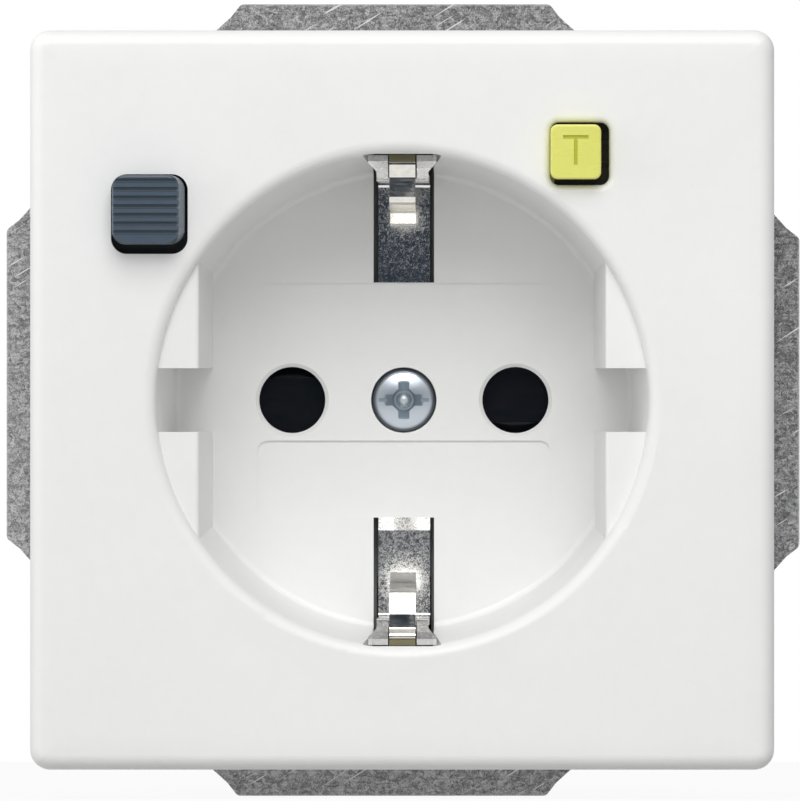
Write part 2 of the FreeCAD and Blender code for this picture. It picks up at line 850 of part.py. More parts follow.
def lofted_head(x, z, width, height, corner, face, y_face, y_root):
    face_x, face_z, face_width, face_height, face_corner = face
    root = rounded_wire_y(x, z, width, height, corner, y_root)
    y_shoulder = y_face + (y_root - y_face) * button_shoulder_share
    shoulder = rounded_wire_y(x, z, width, height, corner, y_shoulder)
    front = rounded_wire_y(x + face_x, z + face_z, face_width, face_height, face_corner, y_face)
    upper = Part.makeLoft([front, shoulder], True, True)
    upper = fillet_near(upper, button_edge_round, lambda e: e.BoundBox.YMax < y_face + 1e-4)
    lower = Part.makeLoft([shoulder, root], True, True)
    return upper.fuse(lower)


def collar(x, z, width, height, corner):
    block = rounded_block_y(x, z, width + 2 * collar_overlap, height + 2 * collar_overlap,
                            corner + collar_overlap, collar_front, collar_back)
    keep_out = well_radius(plate_back) + well_wall + collar_clear
    return block.cut(rod_y(0, 0, keep_out, collar_front - CUT_MARGIN, collar_back + CUT_MARGIN))


def reset_button():
    x, z = reset_x + reset_shift_x, reset_z + reset_shift_z
    face_y = plate_front - reset_proud
    head = lofted_head(x, z, reset_width, reset_height, reset_corner,
                       (reset_face_shift_x, reset_face_shift_z, reset_face_width,
                        reset_face_height, reset_face_corner), face_y, collar_front)
    grooves = []
    middle_z = z + reset_face_shift_z + reset_groove_shift
    first = middle_z - reset_groove_pitch * (reset_groove_count - 1) / 2
    groove_y = face_y + reset_groove_depth - reset_groove_radius
    for number in range(reset_groove_count):
        grooves.append(rod_x(groove_y, first + number * reset_groove_pitch, reset_groove_radius,
                             x - reset_width, x + reset_width))
    head = head.cut(grooves)
    body = collar(reset_x, reset_z, reset_hole_width, reset_hole_height, reset_hole_corner)
    stem = rod_y(reset_stem_x, reset_stem_z, stem_radius, collar_front, stem_back)
    return fuse([head, body, stem])


def test_button():
    x, z = test_x + test_shift_x, test_z + test_shift_z
    face_y = plate_front - test_proud
    head = lofted_head(x, z, test_width, test_height, test_corner,
                       (test_face_shift_x, test_face_shift_z, test_face_width,
                        test_face_height, test_face_corner), face_y, collar_front)
    middle_x, middle_z = x + test_face_shift_x, z + test_face_shift_z
    top = middle_z + test_mark_shift + test_mark_height / 2
    bar = box(middle_x - test_mark_width / 2, middle_x + test_mark_width / 2,
              face_y - CUT_MARGIN, face_y + test_mark_depth, top - test_mark_stroke, top)
    leg = box(middle_x - test_mark_stroke / 2, middle_x + test_mark_stroke / 2,
              face_y - CUT_MARGIN, face_y + test_mark_depth, top - test_mark_height, top)
    head = head.cut([bar, leg])
    body = collar(test_x, test_z, test_hole_width, test_hole_height, test_hole_corner)
    stem = rod_y(test_stem_x, test_stem_z, stem_radius, collar_front, test_stem_back)
    return fuse([head, body, stem])


def button_spring(x, z):
    return sleeve_y(x, z, button_spring_inner, button_spring_outer,
                    collar_back + spring_seat_gap, carrier_front - spring_seat_gap)


# Support frame and its screws

def frame_tab(side, shift, reach):
    tip, neck, root, foot = tab_tip_half, tab_neck_half, tab_root_half, tab_foot_half
    inner = frame_half_width - frame_corner
    flank = frame_half_width - tab_foot_inset
    places = [(-foot, inner), (foot, inner), (foot, flank),
              (root, reach - tab_root_depth), (neck, reach - tab_neck_depth), (tip, reach),
              (-tip, reach), (-neck, reach - tab_neck_depth), (-root, reach - tab_root_depth),
              (-foot, flank)]
    moved = [(u + shift, w) for u, w in places]
    if side == "top":
        points = moved
    elif side == "bottom":
        points = [(u, -w) for u, w in moved]
    elif side == "right":
        points = [(w, u) for u, w in moved]
    else:
        points = [(-w, u) for u, w in moved]
    tab = polygon_y(points, frame_front, 0)
    along_z = side in ("top", "bottom")
    line = reach - tab_root_depth - 0.2

    def visible_corner(edge):
        middle = edge.CenterOfMass
        out = abs(middle.z) if along_z else abs(middle.x)
        return edge.BoundBox.YLength > frame_thickness / 2 and out > line

    return fillet_near(tab, tab_round, visible_corner)


def levelling_slot(side):
    outer = level_slot_ring + level_slot_radius
    inner = level_slot_ring - level_slot_radius
    ring = sleeve_y(0, 0, inner, outer, frame_front - CUT_MARGIN, CUT_MARGIN)
    reach = outer + CUT_MARGIN
    half = math.tan(math.radians(level_slot_angle)) * reach
    wedge = polygon_y([(0, 0), (-half, side * reach), (half, side * reach)],
                      frame_front - CUT_MARGIN, CUT_MARGIN)
    pieces = [ring.common(wedge)]
    for turn in (-level_slot_angle, level_slot_angle):
        x, z = on_ring(level_slot_ring, side * 90 + turn)
        pieces.append(rod_y(x, z, level_slot_radius, frame_front - CUT_MARGIN, CUT_MARGIN))
    return fuse(pieces)


def support_frame():
    size = 2 * frame_half_width
    parts = [rounded_block_y(0, 0, size, size, frame_corner, frame_front, 0)]
    parts.append(frame_tab("top", tab_shift_top, tab_reach_z))
    parts.append(frame_tab("bottom", tab_shift_bottom, tab_reach_z))
    parts.append(frame_tab("left", tab_shift_left, tab_reach_x))
    parts.append(frame_tab("right", tab_shift_right, tab_reach_x))
    frame = fuse(parts)
    front, back = frame_front - CUT_MARGIN, CUT_MARGIN
    opening = well_radius(frame_front) + well_wall + 2 * carrier_well_gap
    pad_x = pad_half_width + 2 * carrier_pad_gap
    pad_z = pad_outer + 2 * carrier_pad_gap
    cutters = [rod_y(0, 0, opening, front, back), box(-pad_x, pad_x, front, back, -pad_z, pad_z),
               rod_y(0, 0, insert_radius + carrier_seat_gap, carrier_front, back)]
    for x, z in ((reset_stem_x, reset_stem_z), (test_stem_x, test_stem_z)):
        cutters.append(rod_y(x, z, button_spring_outer + stem_notch_gap, front, back))
    for side in (-1, 1):
        cutters.append(rod_y(side * box_screw_spacing / 2, 0, box_screw_hole, front, back))
        cutters.append(levelling_slot(side))
    for angle in frame_screw_angles:
        x, z = on_ring(frame_screw_ring, angle)
        cutters.append(rod_y(x, z, frame_screw_radius + screw_hole_gap, front, back))
    return frame.cut(cutters)


def frame_screws():
    screws = []
    for angle in frame_screw_angles:
        x, z = on_ring(frame_screw_ring, angle)
        head_front = frame_front - frame_screw_head_height
        head = rod_y(x, z, frame_screw_head, head_front, frame_front)
        head = fillet_near(head, frame_screw_head_height / 2,
                           lambda e: e.BoundBox.YMax < head_front + 1e-6)
        shank = rod_y(x, z, frame_screw_radius, frame_front, frame_front + frame_screw_length)
        slot = box(x - frame_screw_head, x + frame_screw_head, head_front - CUT_MARGIN,
                   head_front + frame_screw_head_height / 2,
                   z - frame_screw_slot / 2, z + frame_screw_slot / 2)
        screws.append(head.fuse(shank).cut(slot))
    return Part.makeCompound(screws)


# Shutter

def shutter_pad(side):
    middle = side * (rotor_pad_inner + rotor_pad_outer) / 2
    length = rotor_pad_outer - rotor_pad_inner
    pad = rounded_block_y(middle, 0, length, 2 * rotor_pad_half, rotor_pad_corner,
                          rotor_front, rotor_back)
    ridge = side * rotor_ridge_height
    low = side * -rotor_pad_half
    past = rotor_pad_outer + CUT_MARGIN
    ramp = Part.Face(Part.makePolygon([
        V(-past, rotor_front, ridge), V(-past, rotor_front - CUT_MARGIN, ridge),
        V(-past, rotor_front - CUT_MARGIN, low), V(-past, rotor_front + rotor_ramp_drop, low),
        V(-past, rotor_front, ridge)])).extrude(V(2 * past, 0, 0))
    return pad.cut(ramp)


def shutter_rotor():
    spring_back = rotor_front + rotor_spring_room
    hub = rod_y(0, 0, rotor_hub_radius, spring_back, rotor_back)
    arm_reach = rotor_pad_inner + rotor_pad_joint
    arm = box(-arm_reach, arm_reach, spring_back, rotor_back, -rotor_arm_half, rotor_arm_half)
    rotor = fuse([hub, arm, shutter_pad(-1), shutter_pad(1)])
    bore = rod_y(0, 0, boss_radius + rotor_bore_gap, rotor_front - CUT_MARGIN, rotor_back + CUT_MARGIN)
    return rotor.cut(bore)


def shutter_spring():
    y = rotor_front + rotor_spring_room / 2
    radius = shutter_spring_wire / 2
    start = (360 - shutter_spring_angle) / 2
    ring = Part.makeTorus(shutter_spring_radius, radius, V(0, y, 0), ALONG_Y, 0, 360,
                          shutter_spring_angle)
    ring.rotate(V(0, y, 0), ALONG_Y, start)
    return ring


def shutter_washer():
    return sleeve_y(0, 0, screw_shank_radius + screw_clearance, washer_radius,
                    boss_back, bracket_front)


# Earth bracket and springs

def earth_bracket():
    half = bracket_width / 2
    lean_z = bracket_bend_half + bracket_lean
    flare_back = arm_front + bracket_flare_run
    lean_back = flare_back + bracket_lean_run
    arm = [(arm_front, lean_z + bracket_flare), (flare_back, lean_z),
           (lean_back, bracket_bend_half), (bracket_back, bracket_bend_half)]
    lower = [(y, -z) for y, z in arm]
    strip = bent_strip_x(lower + arm[::-1], bracket_thickness, bracket_tip_half,
                         bracket_bend_round)
    past_z = lean_z + bracket_flare + CUT_MARGIN
    notch = spring_width / 2 + bracket_notch_gap
    cutters = [box(-notch, notch, arm_front - CUT_MARGIN, arm_front + bracket_notch_run,
                   -past_z, past_z)]
    for side in (-1, 1):
        past_x = side * (bracket_tip_half + CUT_MARGIN)
        back = bracket_back + CUT_MARGIN
        cutters.append(polygon_z([(side * half, back), (side * half, flare_back),
                                  (side * bracket_tip_half, arm_front), (past_x, arm_front),
                                  (past_x, back)], -past_z, past_z))
    strip = strip.cut(cutters)
    ring_back = bracket_back + bracket_collar_height
    bracket = strip.fuse(rod_y(0, 0, bracket_collar_radius, bracket_back, ring_back))
    hole = rod_y(0, 0, screw_shank_radius + screw_hole_gap, bracket_front - CUT_MARGIN,
                 ring_back + CUT_MARGIN)
    return bracket.cut(hole)


def earth_spring(side, slope_run, falls):
    root_y = arm_front - spring_root_gap - spring_thickness
    root_z = bracket_bend_half + bracket_lean - spring_root_inset
    knee_y = root_y + spring_knee_run
    ledge_y = knee_y + spring_ledge_run
    crest_y = plate_front + spring_crest_depth
    points = [(root_y + spring_hook_run, root_z + spring_hook_rise), (root_y, root_z)]
    z = root_z
    for y, fall in zip((knee_y, ledge_y, ledge_y + slope_run, crest_y), falls):
        z -= fall
        points.append((y, z))
    points.append((crest_y + spring_tail_run, z + spring_tail_rise))
    leaf = bent_strip_x(points, spring_thickness, spring_width / 2, spring_bend_round)
    if side < 0:
        leaf = leaf.mirror(V(0, 0, 0), ALONG_Z)
    return leaf


def earth_spring_top():
    falls = (spring_knee_fall_top, spring_ledge_fall_top, spring_slope_fall_top,
             spring_crest_fall_top)
    return earth_spring(1, spring_slope_run_top, falls)


def earth_spring_bottom():
    falls = (spring_knee_fall_bottom, spring_ledge_fall_bottom, spring_slope_fall_bottom,
             spring_crest_fall_bottom)
    return earth_spring(-1, spring_slope_run_bottom, falls)


# Front carrier

def carrier_tower(x, z):
    return rod_y(x, z, stem_radius + stem_gap + tower_wall, carrier_front, carrier_back)


def front_carrier():
    bore = well_radius(0) + well_wall + carrier_well_gap
    parts = [
        sleeve_y(0, 0, inner_radius, insert_radius, carrier_front, carrier_back),
        sleeve_y(0, 0, bore, bore + carrier_inner_wall, carrier_front, carrier_back),
        rod_y(0, 0, insert_radius, bracket_back, carrier_back),
    ]
    for x, z in ((reset_stem_x, reset_stem_z), (test_stem_x, test_stem_z)):
        parts.append(carrier_tower(x, z))
    for angle in frame_screw_angles:
        x, z = on_ring(frame_screw_ring, angle)
        parts.append(rod_y(x, z, carrier_boss, carrier_front, carrier_back))
    for x, z in housing_screw_places:
        parts.append(rod_y(x, z, pillar_radius, carrier_front, carrier_back))
    body = fuse(parts)
    past = carrier_back + CUT_MARGIN
    pad_x = pad_half_width + carrier_pad_gap
    pad_z = pad_outer + carrier_pad_gap
    body = body.common(rod_y(0, 0, insert_radius, carrier_front, carrier_back))
    cutters = [rod_y(0, 0, bore, -CUT_MARGIN, bracket_back),
               box(-pad_x, pad_x, -CUT_MARGIN, bracket_back, -pad_z, pad_z)]
    for x, z in ((reset_stem_x, reset_stem_z), (test_stem_x, test_stem_z)):
        cutters.append(rod_y(x, z, stem_radius + stem_gap, -CUT_MARGIN, past))
    for angle in frame_screw_angles:
        x, z = on_ring(frame_screw_ring, angle)
        cutters.append(rod_y(x, z, frame_screw_radius + screw_hole_gap, -CUT_MARGIN,
                             frame_front + frame_screw_length + screw_hole_gap))
    for x, z in housing_screw_places:
        cutters.append(rod_y(x, z, housing_screw_radius + screw_hole_gap,
                             carrier_back - housing_screw_grip - screw_hole_gap, past))
    for side in (-1, 1):
        cutters.append(rod_y(side * pin_spacing / 2, 0, pin_hole_radius + pin_pass_gap,
                             bracket_back - CUT_MARGIN, past))
    cutters.append(rod_y(0, 0, bracket_collar_radius + strap_gap, bracket_back - CUT_MARGIN, past))
    half = strap_width / 2 + strap_pass_gap
    cutters.append(box(-half, half, bracket_back - CUT_MARGIN, past, -strap_outer_z() - strap_gap,
                       -strap_outer_z() + strap_foot + strap_pass_gap))
    return body.cut(cutters)


def strap_outer_z():
    return flat_inside - strap_gap


def earth_strap():
    foot_end = strap_outer_z() - strap_foot
    strap = bent_strip_x([(bracket_back, -foot_end), (bracket_back, -strap_outer_z()),
                          (terminal_front, -strap_outer_z())],
                         strap_thickness, strap_width / 2, strap_thickness / 2)
    return strap


# Rear housing

def d_shape(radius, flat, y0, y1):
    disc = rod_y(0, 0, radius, y0, y1)
    return disc.common(box(-radius, radius, y0, y1, -flat, radius))


def terminal_centre_z():
    return -flat_inside + terminal_height / 2


def rear_housing():
    shell = d_shape(insert_radius, housing_flat, carrier_back, housing_depth)
    shell = fillet_near(shell, housing_round, lambda e: e.BoundBox.YMin > housing_depth - 1e-6)
    shell = shell.cut(d_shape(inner_radius, flat_inside, carrier_back - CUT_MARGIN, housing_inner_back))
    parts = [shell]
    for x, z in housing_screw_places:
        parts.append(rod_y(x, z, pillar_radius, carrier_back, housing_inner_back + wall_joint))
    for side in (-1, 1):
        parts.append(rod_y(side * post_x, post_z, post_radius, board_back,
                           housing_inner_back + wall_joint))
    pad_half = terminal_half_x + terminal_pad_side
    for number in (-1, 0, 1):
        x = number * terminal_spacing
        parts.append(box(x - pad_half, x + pad_half, terminal_back, housing_inner_back + wall_joint,
                         -flat_inside - wall_joint, -flat_inside + terminal_height + terminal_pad_side))
    rib_circle = inner_radius - housing_rib_inset
    for number in range(housing_rib_count):
        z = number * housing_rib_pitch
        half = housing_rib_share * math.sqrt(rib_circle ** 2 - (z + housing_rib_width) ** 2)
        parts.append(box(-half, half, housing_depth - wall_joint, housing_depth + housing_rib_height,
                         z - housing_rib_width / 2, z + housing_rib_width / 2))
    body = fuse(parts)
    cutters = []
    past = housing_depth + housing_rib_height + CUT_MARGIN
    for x, z in housing_screw_places:
        cutters.append(rod_y(x, z, housing_screw_radius + screw_hole_gap,
                             carrier_back - CUT_MARGIN, past))
        cutters.append(rod_y(x, z, housing_screw_head + screw_clearance,
                             housing_depth - housing_screw_head_height, past))
    for number in (-1, 0, 1):
        x = number * terminal_spacing
        cutters.append(rod_y(x, terminal_centre_z(), terminal_screw_head + terminal_access_gap,
                             terminal_back - CUT_MARGIN, past))
        cutters.append(rod_z(x, terminal_front + wire_bore_back, wire_bore,
                             -housing_flat - CUT_MARGIN, -flat_inside + CUT_MARGIN / 2))
    return body.cut(cutters)


def housing_screws():
    screws = []
    seat = housing_depth - housing_screw_head_height
    top = housing_depth - housing_screw_sink
    front, back = top - housing_cross_depth, top + CUT_MARGIN
    half_l, half_w = housing_cross_length / 2, housing_cross_width / 2
    for x, z in housing_screw_places:
        head = rod_y(x, z, housing_screw_head, seat, top)
        shank = rod_y(x, z, housing_screw_radius, carrier_back - housing_screw_grip, seat)
        upright = box(x - half_w, x + half_w, front, back, z - half_l, z + half_l)
        level = box(x - half_l, x + half_l, front, back, z - half_w, z + half_w)
        screws.append(head.fuse(shank).cut([upright, level]))
    return Part.makeCompound(screws)


# Pin contacts and switching contacts

def clip_leaf_side(x, side, end):
    points = [(carrier_back + clip_base_thickness / 2, clip_root),
              (carrier_back + clip_root_run, clip_root),
              (floor_front + pin_reach - clip_pinch_start, clip_pinch),
              (floor_front + pin_reach - clip_pinch_end, clip_pinch),
              (end, clip_mouth)]
    leaf = bent_strip_x(points, clip_leaf, clip_leaf_half_x, clip_bend, x)
    if side < 0:
        leaf = leaf.mirror(V(0, 0, 0), ALONG_Z)
    return leaf


def clip(x):
    base = box(x - clip_base_half_x, x + clip_base_half_x, carrier_back,
               carrier_back + clip_base_thickness, -clip_base_half_z, clip_base_half_z)
    hole = rod_y(x, 0, pin_hole_radius + pin_pass_gap / 2, carrier_back - CUT_MARGIN,
                 carrier_back + clip_base_thickness + CUT_MARGIN)
    tail_reach = clip_end + contact_plate / 2
    return [base.cut(hole), clip_leaf_side(x, 1, tail_reach), clip_leaf_side(x, -1, clip_end)]


def stud(x):
    stud_front = blade_front + blade_thickness + rivet_height + reset_travel + closed_gap
    return rod_y(x, contact_height, stud_radius, stud_front, clip_end)


def contact_plate_box(x0, x1, z0, z1):
    return box(x0, x1, clip_end, clip_end + contact_plate, z0, z1)


def live_contact_clip():
    x = -pin_spacing / 2
    stud_x = live_contacts_x[1]
    parts = clip(x)
    parts.append(contact_plate_box(stud_x - contact_half, stud_x + contact_half,
                                   clip_mouth, contact_height + contact_half))
    parts.append(stud(stud_x))
    return fuse(parts)


def neutral_contact_clip():
    x = pin_spacing / 2
    stud_x = neutral_contacts_x[1]
    parts = clip(x)
    parts.append(contact_plate_box(stud_x - contact_half, x + clip_leaf_half_x,
                                   clip_mouth, clip_mouth + tail_width))
    parts.append(contact_plate_box(stud_x - contact_half, stud_x + contact_half,
                                   clip_mouth, contact_height + contact_half))
    parts.append(stud(stud_x))
    return fuse(parts)


def supply_contact(x):
    plate = contact_plate_box(x - contact_half, x + contact_half, contact_foot,
                              contact_height + contact_half)
    return fuse([plate, stud(x)])


def contact_base():
    parts = [box(base_left, base_right, base_front, base_back, base_low, base_high)]
    parts.append(rod_y(guide_post_x, guide_post_z, guide_post_radius, guide_post_front, base_front))
    parts.append(box(relay_left + yoke_plate, relay_left + relay_length - yoke_plate, relay_back,
                     base_front, contact_height - contact_half, base_high - contact_half))
    for x, z in base_foot_places:
        parts.append(rod_y(x, z, base_foot_radius, base_back, board_front))
    return fuse(parts)


def contact_bridge():
    boss = rod_y(reset_stem_x, reset_stem_z, bridge_socket, bridge_front, bridge_back)
    left = guide_post_x - bridge_post_half
    bar = box(left, bridge_right, bridge_front, bridge_back, bridge_low, bridge_high)
    link = polygon_y([(reset_stem_x - bridge_link_half, reset_stem_z),
                      (left, bridge_low + bridge_link_foot),
                      (guide_post_x + bridge_post_half, bridge_high),
                      (reset_stem_x, reset_stem_z + bridge_link_half)], bridge_front, bridge_back)
    tooth = box(bridge_right, bridge_right + tooth_reach, bridge_front, bridge_back,
                bridge_low, bridge_low + tooth_height)
    parts = [boss, bar, link, tooth]
    for x in blade_centres():
        parts.append(rod_y(x, contact_height, blade_post_radius, bridge_back,
                           blade_front + blade_thickness + blade_post_past))
    body = fuse(parts)
    hole = rod_y(guide_post_x, guide_post_z, guide_post_radius + stem_gap,
                 bridge_front - CUT_MARGIN, bridge_back + CUT_MARGIN)
    return body.cut(hole)


def blade_centres():
    return [sum(pair) / 2 for pair in (live_contacts_x, neutral_contacts_x)]


def moving_contact(pair):
    back = blade_front + blade_thickness
    blade = box(pair[0] - blade_past_stud, pair[1] + blade_past_stud, blade_front, back,
                contact_height - blade_half_z, contact_height + blade_half_z)
    parts = [blade]
    for x in pair:
        parts.append(rod_y(x, contact_height, stud_radius, back, back + rivet_height))
    hole = rod_y(sum(pair) / 2, contact_height, blade_post_radius + blade_post_gap,
                 blade_front - CUT_MARGIN, back + CUT_MARGIN)
    return fuse(parts).cut(hole)


def contact_springs():
    inner = blade_post_radius + blade_post_gap
    return Part.makeCompound([
        sleeve_y(x, contact_height, inner, blade_spring_outer, bridge_back, blade_front)
        for x in blade_centres()
    ])


def bridge_spring():
    return sleeve_y(guide_post_x, guide_post_z, bridge_spring_inner, bridge_spring_outer,
                    bridge_back + spring_seat_gap, base_front - spring_seat_gap)


# Trip relay and latch

def relay_yoke():
    right = relay_left + relay_length
    low, high = relay_z - relay_half_z, relay_z + relay_half_z
    front, back = relay_y - relay_reach, relay_back
    parts = [
        box(relay_left, relay_left + yoke_plate, front, back, low, high),
        box(right - yoke_plate, right, front, back, low, high),
        box(relay_left, right, back - yoke_plate, back, low, high),
        rod_x(relay_y, relay_z, plunger_radius, relay_core_left, right - yoke_plate),
    ]
    ear_left = pivot_x - ear_half
    for z in (low, high - ear_thickness):
        parts.append(box(ear_left, relay_left, pivot_y - ear_half, pivot_y + ear_half,
                         z, z + ear_thickness))
    yoke = fuse(parts)
    hole = rod_x(relay_y, relay_z, plunger_radius + plunger_gap, relay_left - CUT_MARGIN,
                 relay_left + yoke_plate)
    pin_hole = rod_z(pivot_x, pivot_y, pivot_radius, low - CUT_MARGIN, high + CUT_MARGIN)
    return yoke.cut([hole, pin_hole])


def latch_pin():
    low, high = relay_z - relay_half_z, relay_z + relay_half_z
    return rod_z(pivot_x, pivot_y, pivot_radius, low, high)


def latch_lever():
    low = relay_z - relay_half_z + ear_thickness + ear_gap
    high = relay_z + relay_half_z - ear_thickness - ear_gap
    front = relay_y - lever_past
    arm = box(pivot_x - lever_half, pivot_x + lever_half, front, pivot_y, low, high)
    boss = rod_z(pivot_x, pivot_y, lever_boss, low, high)
    fork = box(pivot_x - CUT_MARGIN, pivot_x + CUT_MARGIN, front - CUT_MARGIN, front + lever_fork_depth,
               relay_z - lever_fork_half, relay_z + lever_fork_half)
    hole = rod_z(pivot_x, pivot_y, pivot_radius + pivot_gap, low - CUT_MARGIN, high + CUT_MARGIN)
    return arm.fuse(boss).cut([fork, hole])


def relay_bobbin():
    left = relay_left + yoke_plate + coil_gap
    right = relay_left + relay_length - yoke_plate - coil_gap
    bore = plunger_radius + plunger_gap
    parts = [
        rod_x(relay_y, relay_z, bore + bobbin_tube, left, right),
        rod_x(relay_y, relay_z, bobbin_flange, left, left + bobbin_flange_thickness),
        rod_x(relay_y, relay_z, bobbin_flange, right - bobbin_flange_thickness, right),
    ]
    return fuse(parts).cut(rod_x(relay_y, relay_z, bore, left - CUT_MARGIN, right + CUT_MARGIN))


def relay_coil():
    left = relay_left + yoke_plate + 2 * coil_gap + bobbin_flange_thickness
    right = relay_left + relay_length - yoke_plate - 2 * coil_gap - bobbin_flange_thickness
    inner = plunger_radius + plunger_gap + bobbin_tube + coil_gap
    return rod_x(relay_y, relay_z, coil_outer, left, right).cut(
        rod_x(relay_y, relay_z, inner, left - CUT_MARGIN, right + CUT_MARGIN))


def trip_plunger():
    disc_right = plunger_disc_left + plunger_disc_thickness
    return fuse([
        rod_x(relay_y, relay_z, plunger_radius, plunger_nose, plunger_end),
        rod_x(relay_y, relay_z, plunger_neck_radius, disc_right, plunger_nose),
        rod_x(relay_y, relay_z, plunger_disc_radius, plunger_disc_left, disc_right),
    ])


def plunger_spring():
    left, right = plunger_end + spring_seat_gap, relay_core_left - spring_seat_gap
    return rod_x(relay_y, relay_z, plunger_spring_outer, left, right).cut(
        rod_x(relay_y, relay_z, plunger_spring_inner, left, right))


# Summation transformer and leads

def transformer_core():
    front = winding_front + winding_cover
    return sleeve_y(0, core_z, core_inner, core_outer, front, front + core_length)


def transformer_winding():
    ring = sleeve_y(0, core_z, winding_inner, winding_outer, winding_front, winding_back)
    hollow = sleeve_y(0, core_z, core_inner - winding_gap, core_outer + winding_gap,
                      winding_front + winding_cover - winding_gap,
                      winding_back - winding_cover + winding_gap)
    return ring.cut(hollow)


def transformer_cradle():
    inner = winding_outer + cradle_gap
    outer = inner + cradle_wall
    seat_front = winding_front - cradle_seat
    wall = sleeve_y(0, core_z, inner, outer, carrier_back, winding_front + cradle_reach)
    seat = sleeve_y(0, core_z, cradle_seat_inner, outer, seat_front, winding_front)
    slot = box(-cradle_slot_half, cradle_slot_half, carrier_back - CUT_MARGIN, seat_front,
               core_z, core_z + outer + CUT_MARGIN)
    return fuse([wall, seat]).cut(slot)


def lead(side, contact_x):
    inner_x = side * lead_side
    block_x = side * lead_block_x
    start_z = terminal_centre_z() + terminal_height / 2 - lead_radius - lead_block_inset
    return tube_along([
        (block_x, terminal_front, start_z),
        (block_x, lead_back - lead_front_step, start_z),
        (inner_x, lead_back, core_z),
        (inner_x, lead_front, core_z),
        (inner_x, lead_front, lead_rise - lead_drop),
        (contact_x, clip_end - lead_end_run, lead_rise),
        (contact_x, clip_end, lead_rise),
    ], lead_radius, lead_bend)


# Circuit board and its parts

def circuit_board():
    board = d_shape(board_radius, -board_low, board_front, board_back)
    cutters = []
    for x, z in housing_screw_places[:2]:
        cutters.append(rod_y(x, z, pillar_radius + board_hole_gap, board_front - CUT_MARGIN,
                             board_back + CUT_MARGIN))
        cutters.append(box(x - pillar_radius - board_hole_gap, x + pillar_radius + board_hole_gap,
                           board_front - CUT_MARGIN, board_back + CUT_MARGIN, z, z + board_radius))
    return board.cut(cutters)


def smoothing_capacitor():
    x, z = capacitor_place
    y = board_back + capacitor_radius
    can = rod_x(y, z, capacitor_radius, x, x + capacitor_length)
    return fillet_near(can, capacitor_round, lambda e: e.BoundBox.XLength < 1e-6)


def varistor():
    x, z = varistor_place
    disc = rod_y(x, z, varistor_radius, board_back, board_back + varistor_thickness)
    back = board_back + varistor_thickness
    return fillet_near(disc, varistor_round, lambda e: e.BoundBox.YMin > back - 1e-6)


def control_chip():
    x, z = chip_place
    return box(x - chip_width / 2, x + chip_width / 2, board_back, board_back + chip_thickness,
               z - chip_height / 2, z + chip_height / 2)


def test_resistor():
    x, z = resistor_place
    y = board_back + resistor_radius + resistor_cap
    parts = [rod_x(y, z, resistor_radius, x, x + resistor_length)]
    for left in (x, x + resistor_length - resistor_cap_length):
        parts.append(rod_x(y, z, resistor_radius + resistor_cap, left, left + resistor_cap_length))
    return fuse(parts)


# Test contacts

def test_leaf():
    front = test_stem_back + leaf_stem_gap
    leaf = box(leaf_left, leaf_right, front, front + leaf_thickness, leaf_low, leaf_high)
    return fillet_near(leaf, leaf_round, lambda e: e.BoundBox.YLength > leaf_thickness / 2
                       and e.BoundBox.XMin > leaf_right - 1e-6)


def test_leaf_post():
    front = test_stem_back - leaf_post_rise
    return box(leaf_post_right - leaf_post_width, leaf_post_right, front, board_front,
               leaf_low, leaf_high)


def test_contact():
    front = test_stem_back + leaf_thickness + test_travel + test_contact_gap
    right = test_contact_left + test_contact_width
    head = box(test_contact_left, right, front, front + test_contact_foot, leaf_low, leaf_high)
    leg = box(right - test_contact_foot, right, front, board_front, leaf_low, leaf_high)
    return fuse([head, leg])


# Terminals

def terminal(number):
    x = number * terminal_spacing
    bottom = -flat_inside
    block = box(x - terminal_half_x, x + terminal_half_x, terminal_front, terminal_back,
                bottom, bottom + terminal_height)
    wire = rod_z(x, terminal_front + wire_bore_back, wire_bore, bottom - CUT_MARGIN,
                 bottom + terminal_height - wire_bore_floor)
    screw = rod_y(x, terminal_centre_z(), terminal_screw_radius + screw_hole_gap,
                  terminal_front + wire_bore_back, terminal_back + CUT_MARGIN)
    return block.cut([wire, screw])


def terminal_screws():
    screws = []
    for number in (-1, 0, 1):
        x, z = number * terminal_spacing, terminal_centre_z()
        tip = terminal_front + wire_bore_back + wire_bore + terminal_screw_gap
        seat = terminal_back + terminal_screw_gap
        head_back = seat + terminal_screw_head_height
        shank = rod_y(x, z, terminal_screw_radius, tip, seat)
        head = rod_y(x, z, terminal_screw_head, seat, head_back)
        slot = box(x - terminal_screw_head, x + terminal_screw_head,
                   head_back - terminal_screw_slot_depth, head_back + CUT_MARGIN,
                   z - terminal_screw_slot / 2, z + terminal_screw_slot / 2)
        screws.append(head.fuse(shank).cut(slot))
    return Part.makeCompound(screws)


